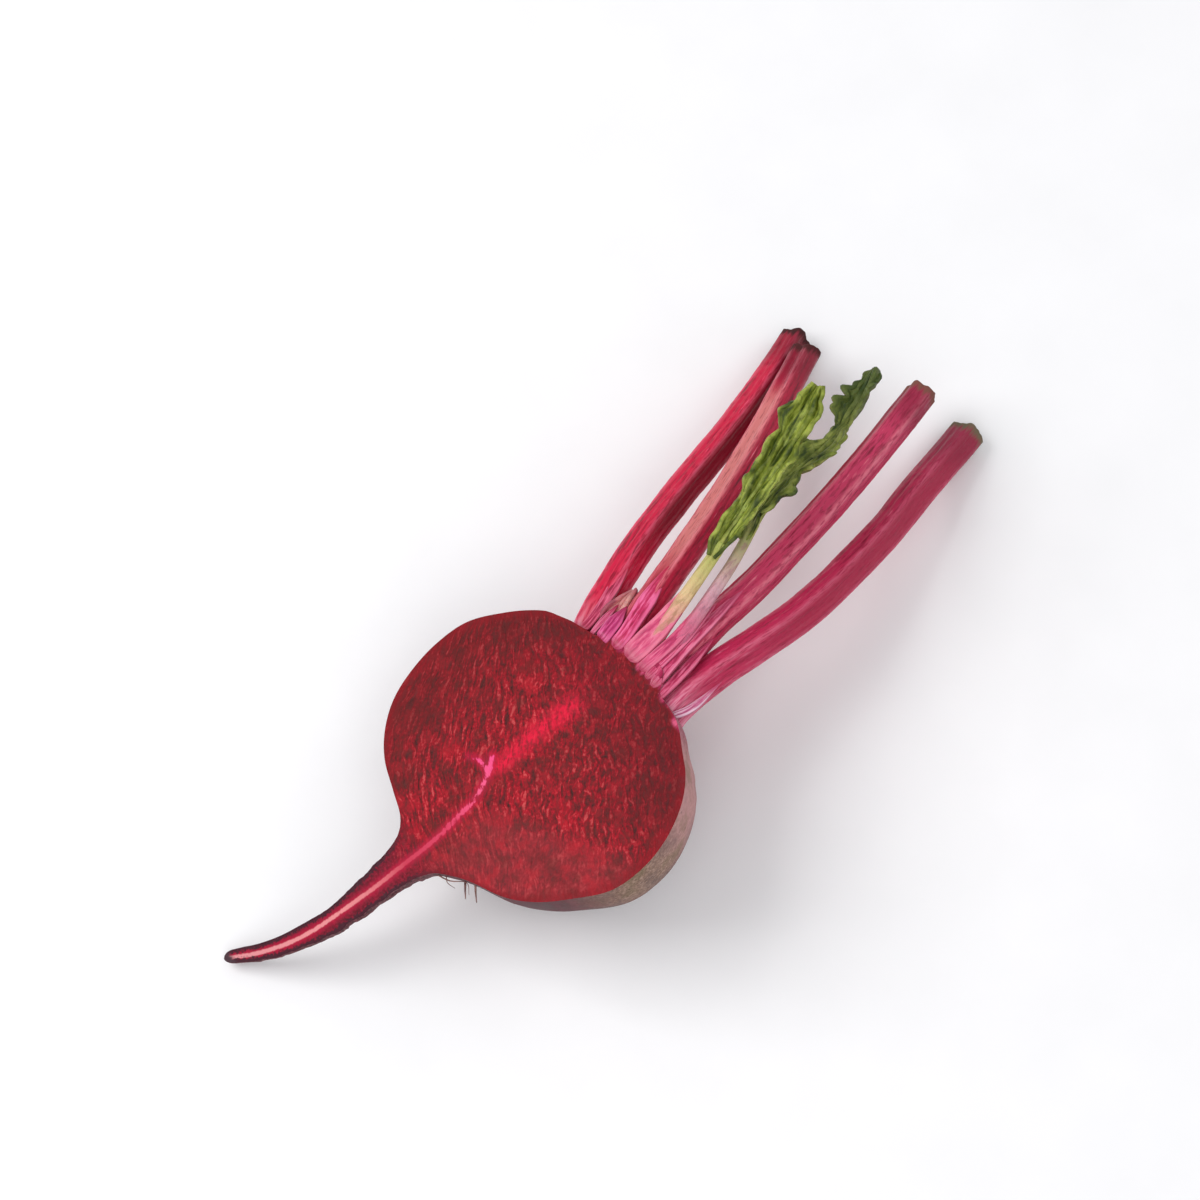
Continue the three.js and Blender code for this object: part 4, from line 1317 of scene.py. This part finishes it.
def blade_middle(leaf):
    fraction = np.linspace(0, 1, BLADE_ROWS)
    side = np.linspace(-1, 1, BLADE_COLUMNS + 1)[None, :]
    t = leaf["blade_start"] + (1 - leaf["blade_start"]) * fraction
    centre, _, across, lift, length = along_route(leaf["route"], t, leaf["roll"])
    run = (t * length)[:, None]
    reach = blade_reach(leaf, fraction, side, run)
    wide = -np.sign(side) * reach * math.cos(leaf["fold"])
    high = reach * math.sin(leaf["fold"]) + blade_lift(leaf, side, run)
    streak = np.broadcast_arrays(run / LEAF_STREAK_LENGTH, FOLDS_ACROSS * side, leaf["seed"])
    return rings(centre, across, lift, wide, high), side[0], t, np.stack(streak, axis=2).reshape(-1, 3)


print("blade shape ready")

# %% [markdown]
# A sheet without thickness has no edge to catch the light. A solidify modifier would give it one, but
# not the midrib that swells from its middle, so both faces are pushed out by hand and joined by a rim.
# The stalk is a thin ridged loft that ends inside the blade's foot.

# %% Build the leaf blades and their stalks
def blade_faces():
    """Quads of the upper and the lower face, and of the rim that joins them."""
    stride = BLADE_COLUMNS + 1
    under = BLADE_ROWS * stride
    faces = []
    for row in range(BLADE_ROWS - 1):
        for column in range(BLADE_COLUMNS):
            here = row * stride + column
            corners = (here, here + stride, here + stride + 1, here + 1)
            faces.append(corners)
            faces.append(tuple(under + corner for corner in reversed(corners)))
    last = (BLADE_ROWS - 1) * stride
    rims = [(column, column + 1) for column in range(BLADE_COLUMNS)]
    rims += [(last + column + 1, last + column) for column in range(BLADE_COLUMNS)]
    for row in range(BLADE_ROWS - 1):
        rims.append(((row + 1) * stride, row * stride))
        rims.append((row * stride + BLADE_COLUMNS, (row + 1) * stride + BLADE_COLUMNS))
    return faces + [(start, stop, under + stop, under + start) for start, stop in rims]


def leaf_radius(leaf, t):
    return leaf["foot_radius"] + (leaf["tip_radius"] - leaf["foot_radius"]) * t


def blade_mesh(leaf):
    middle, side, t, streak = blade_middle(leaf)
    normal = np.cross(np.gradient(middle, axis=0), np.gradient(middle, axis=1))
    normal /= np.linalg.norm(normal, axis=2)[:, :, None]
    midrib = leaf_radius(leaf, t)[:, None] * bell(side, MIDRIB_SPREAD)[None, :]
    push = normal * np.maximum(BLADE_THICKNESS / 2, midrib)[:, :, None]
    points = np.vstack([(middle + push).reshape(-1, 3), (middle - push).reshape(-1, 3)])
    sides = np.tile(np.abs(side), 2 * BLADE_ROWS)
    runs = np.tile(np.repeat(t, len(side)), 2)
    return points, blade_faces(), runs, sides, np.vstack([streak, streak])


def leaf_stalk_mesh(leaf):
    t = np.linspace(0, leaf["blade_start"] + LEAF_STALK_OVERLAP, LEAF_STALK_ROWS)
    centre, _, across, lift, _ = along_route(leaf["route"], t)
    angle = ring_angles(LEAF_STALK_SIDES)
    ridged = 1 + 0.10 * np.cos(4 * angle) + 0.04 * np.cos(9 * angle)
    radius = leaf_radius(leaf, t)[:, None] * ridged[None, :]
    points = rings(centre, across, lift, radius * np.cos(angle), radius * np.sin(angle))
    points = np.vstack([points.reshape(-1, 3), centre[0], centre[-1]])
    run = np.append(np.repeat(t, LEAF_STALK_SIDES), [t[0], t[-1]])
    return points, loft_faces(LEAF_STALK_ROWS, LEAF_STALK_SIDES), run


def build_leaf(leaf):
    blade_points, faces, blade_run, blade_side, streak = blade_mesh(leaf)
    stalk_points, stalk_faces, stalk_run = leaf_stalk_mesh(leaf)
    offset = len(blade_points)
    faces += [tuple(offset + corner for corner in face) for face in stalk_faces]
    points = np.vstack([blade_points, stalk_points])
    on_stalk = 1 - smoothstep(blade_run, leaf["blade_start"], leaf["blade_start"] + 0.10)
    values = {
        "grown": points,
        "streak": np.vstack([streak, stalk_points * (0.12, 0.9, 0.9)]),
        "run": np.append(blade_run, stalk_run),
        "side": np.append(blade_side, np.zeros(len(stalk_points))),
        "stalk": np.append(on_stalk * bell(blade_side, 0.5), np.ones(len(stalk_points))),
    }
    piece = add_mesh(leaf["name"] + "_blade", points, faces, values, [leaf_finish(leaf)])
    attach(piece, leaf["name"])


for leaf in [*YOUNG_LEAVES, SCALE]:
    build_leaf(leaf)
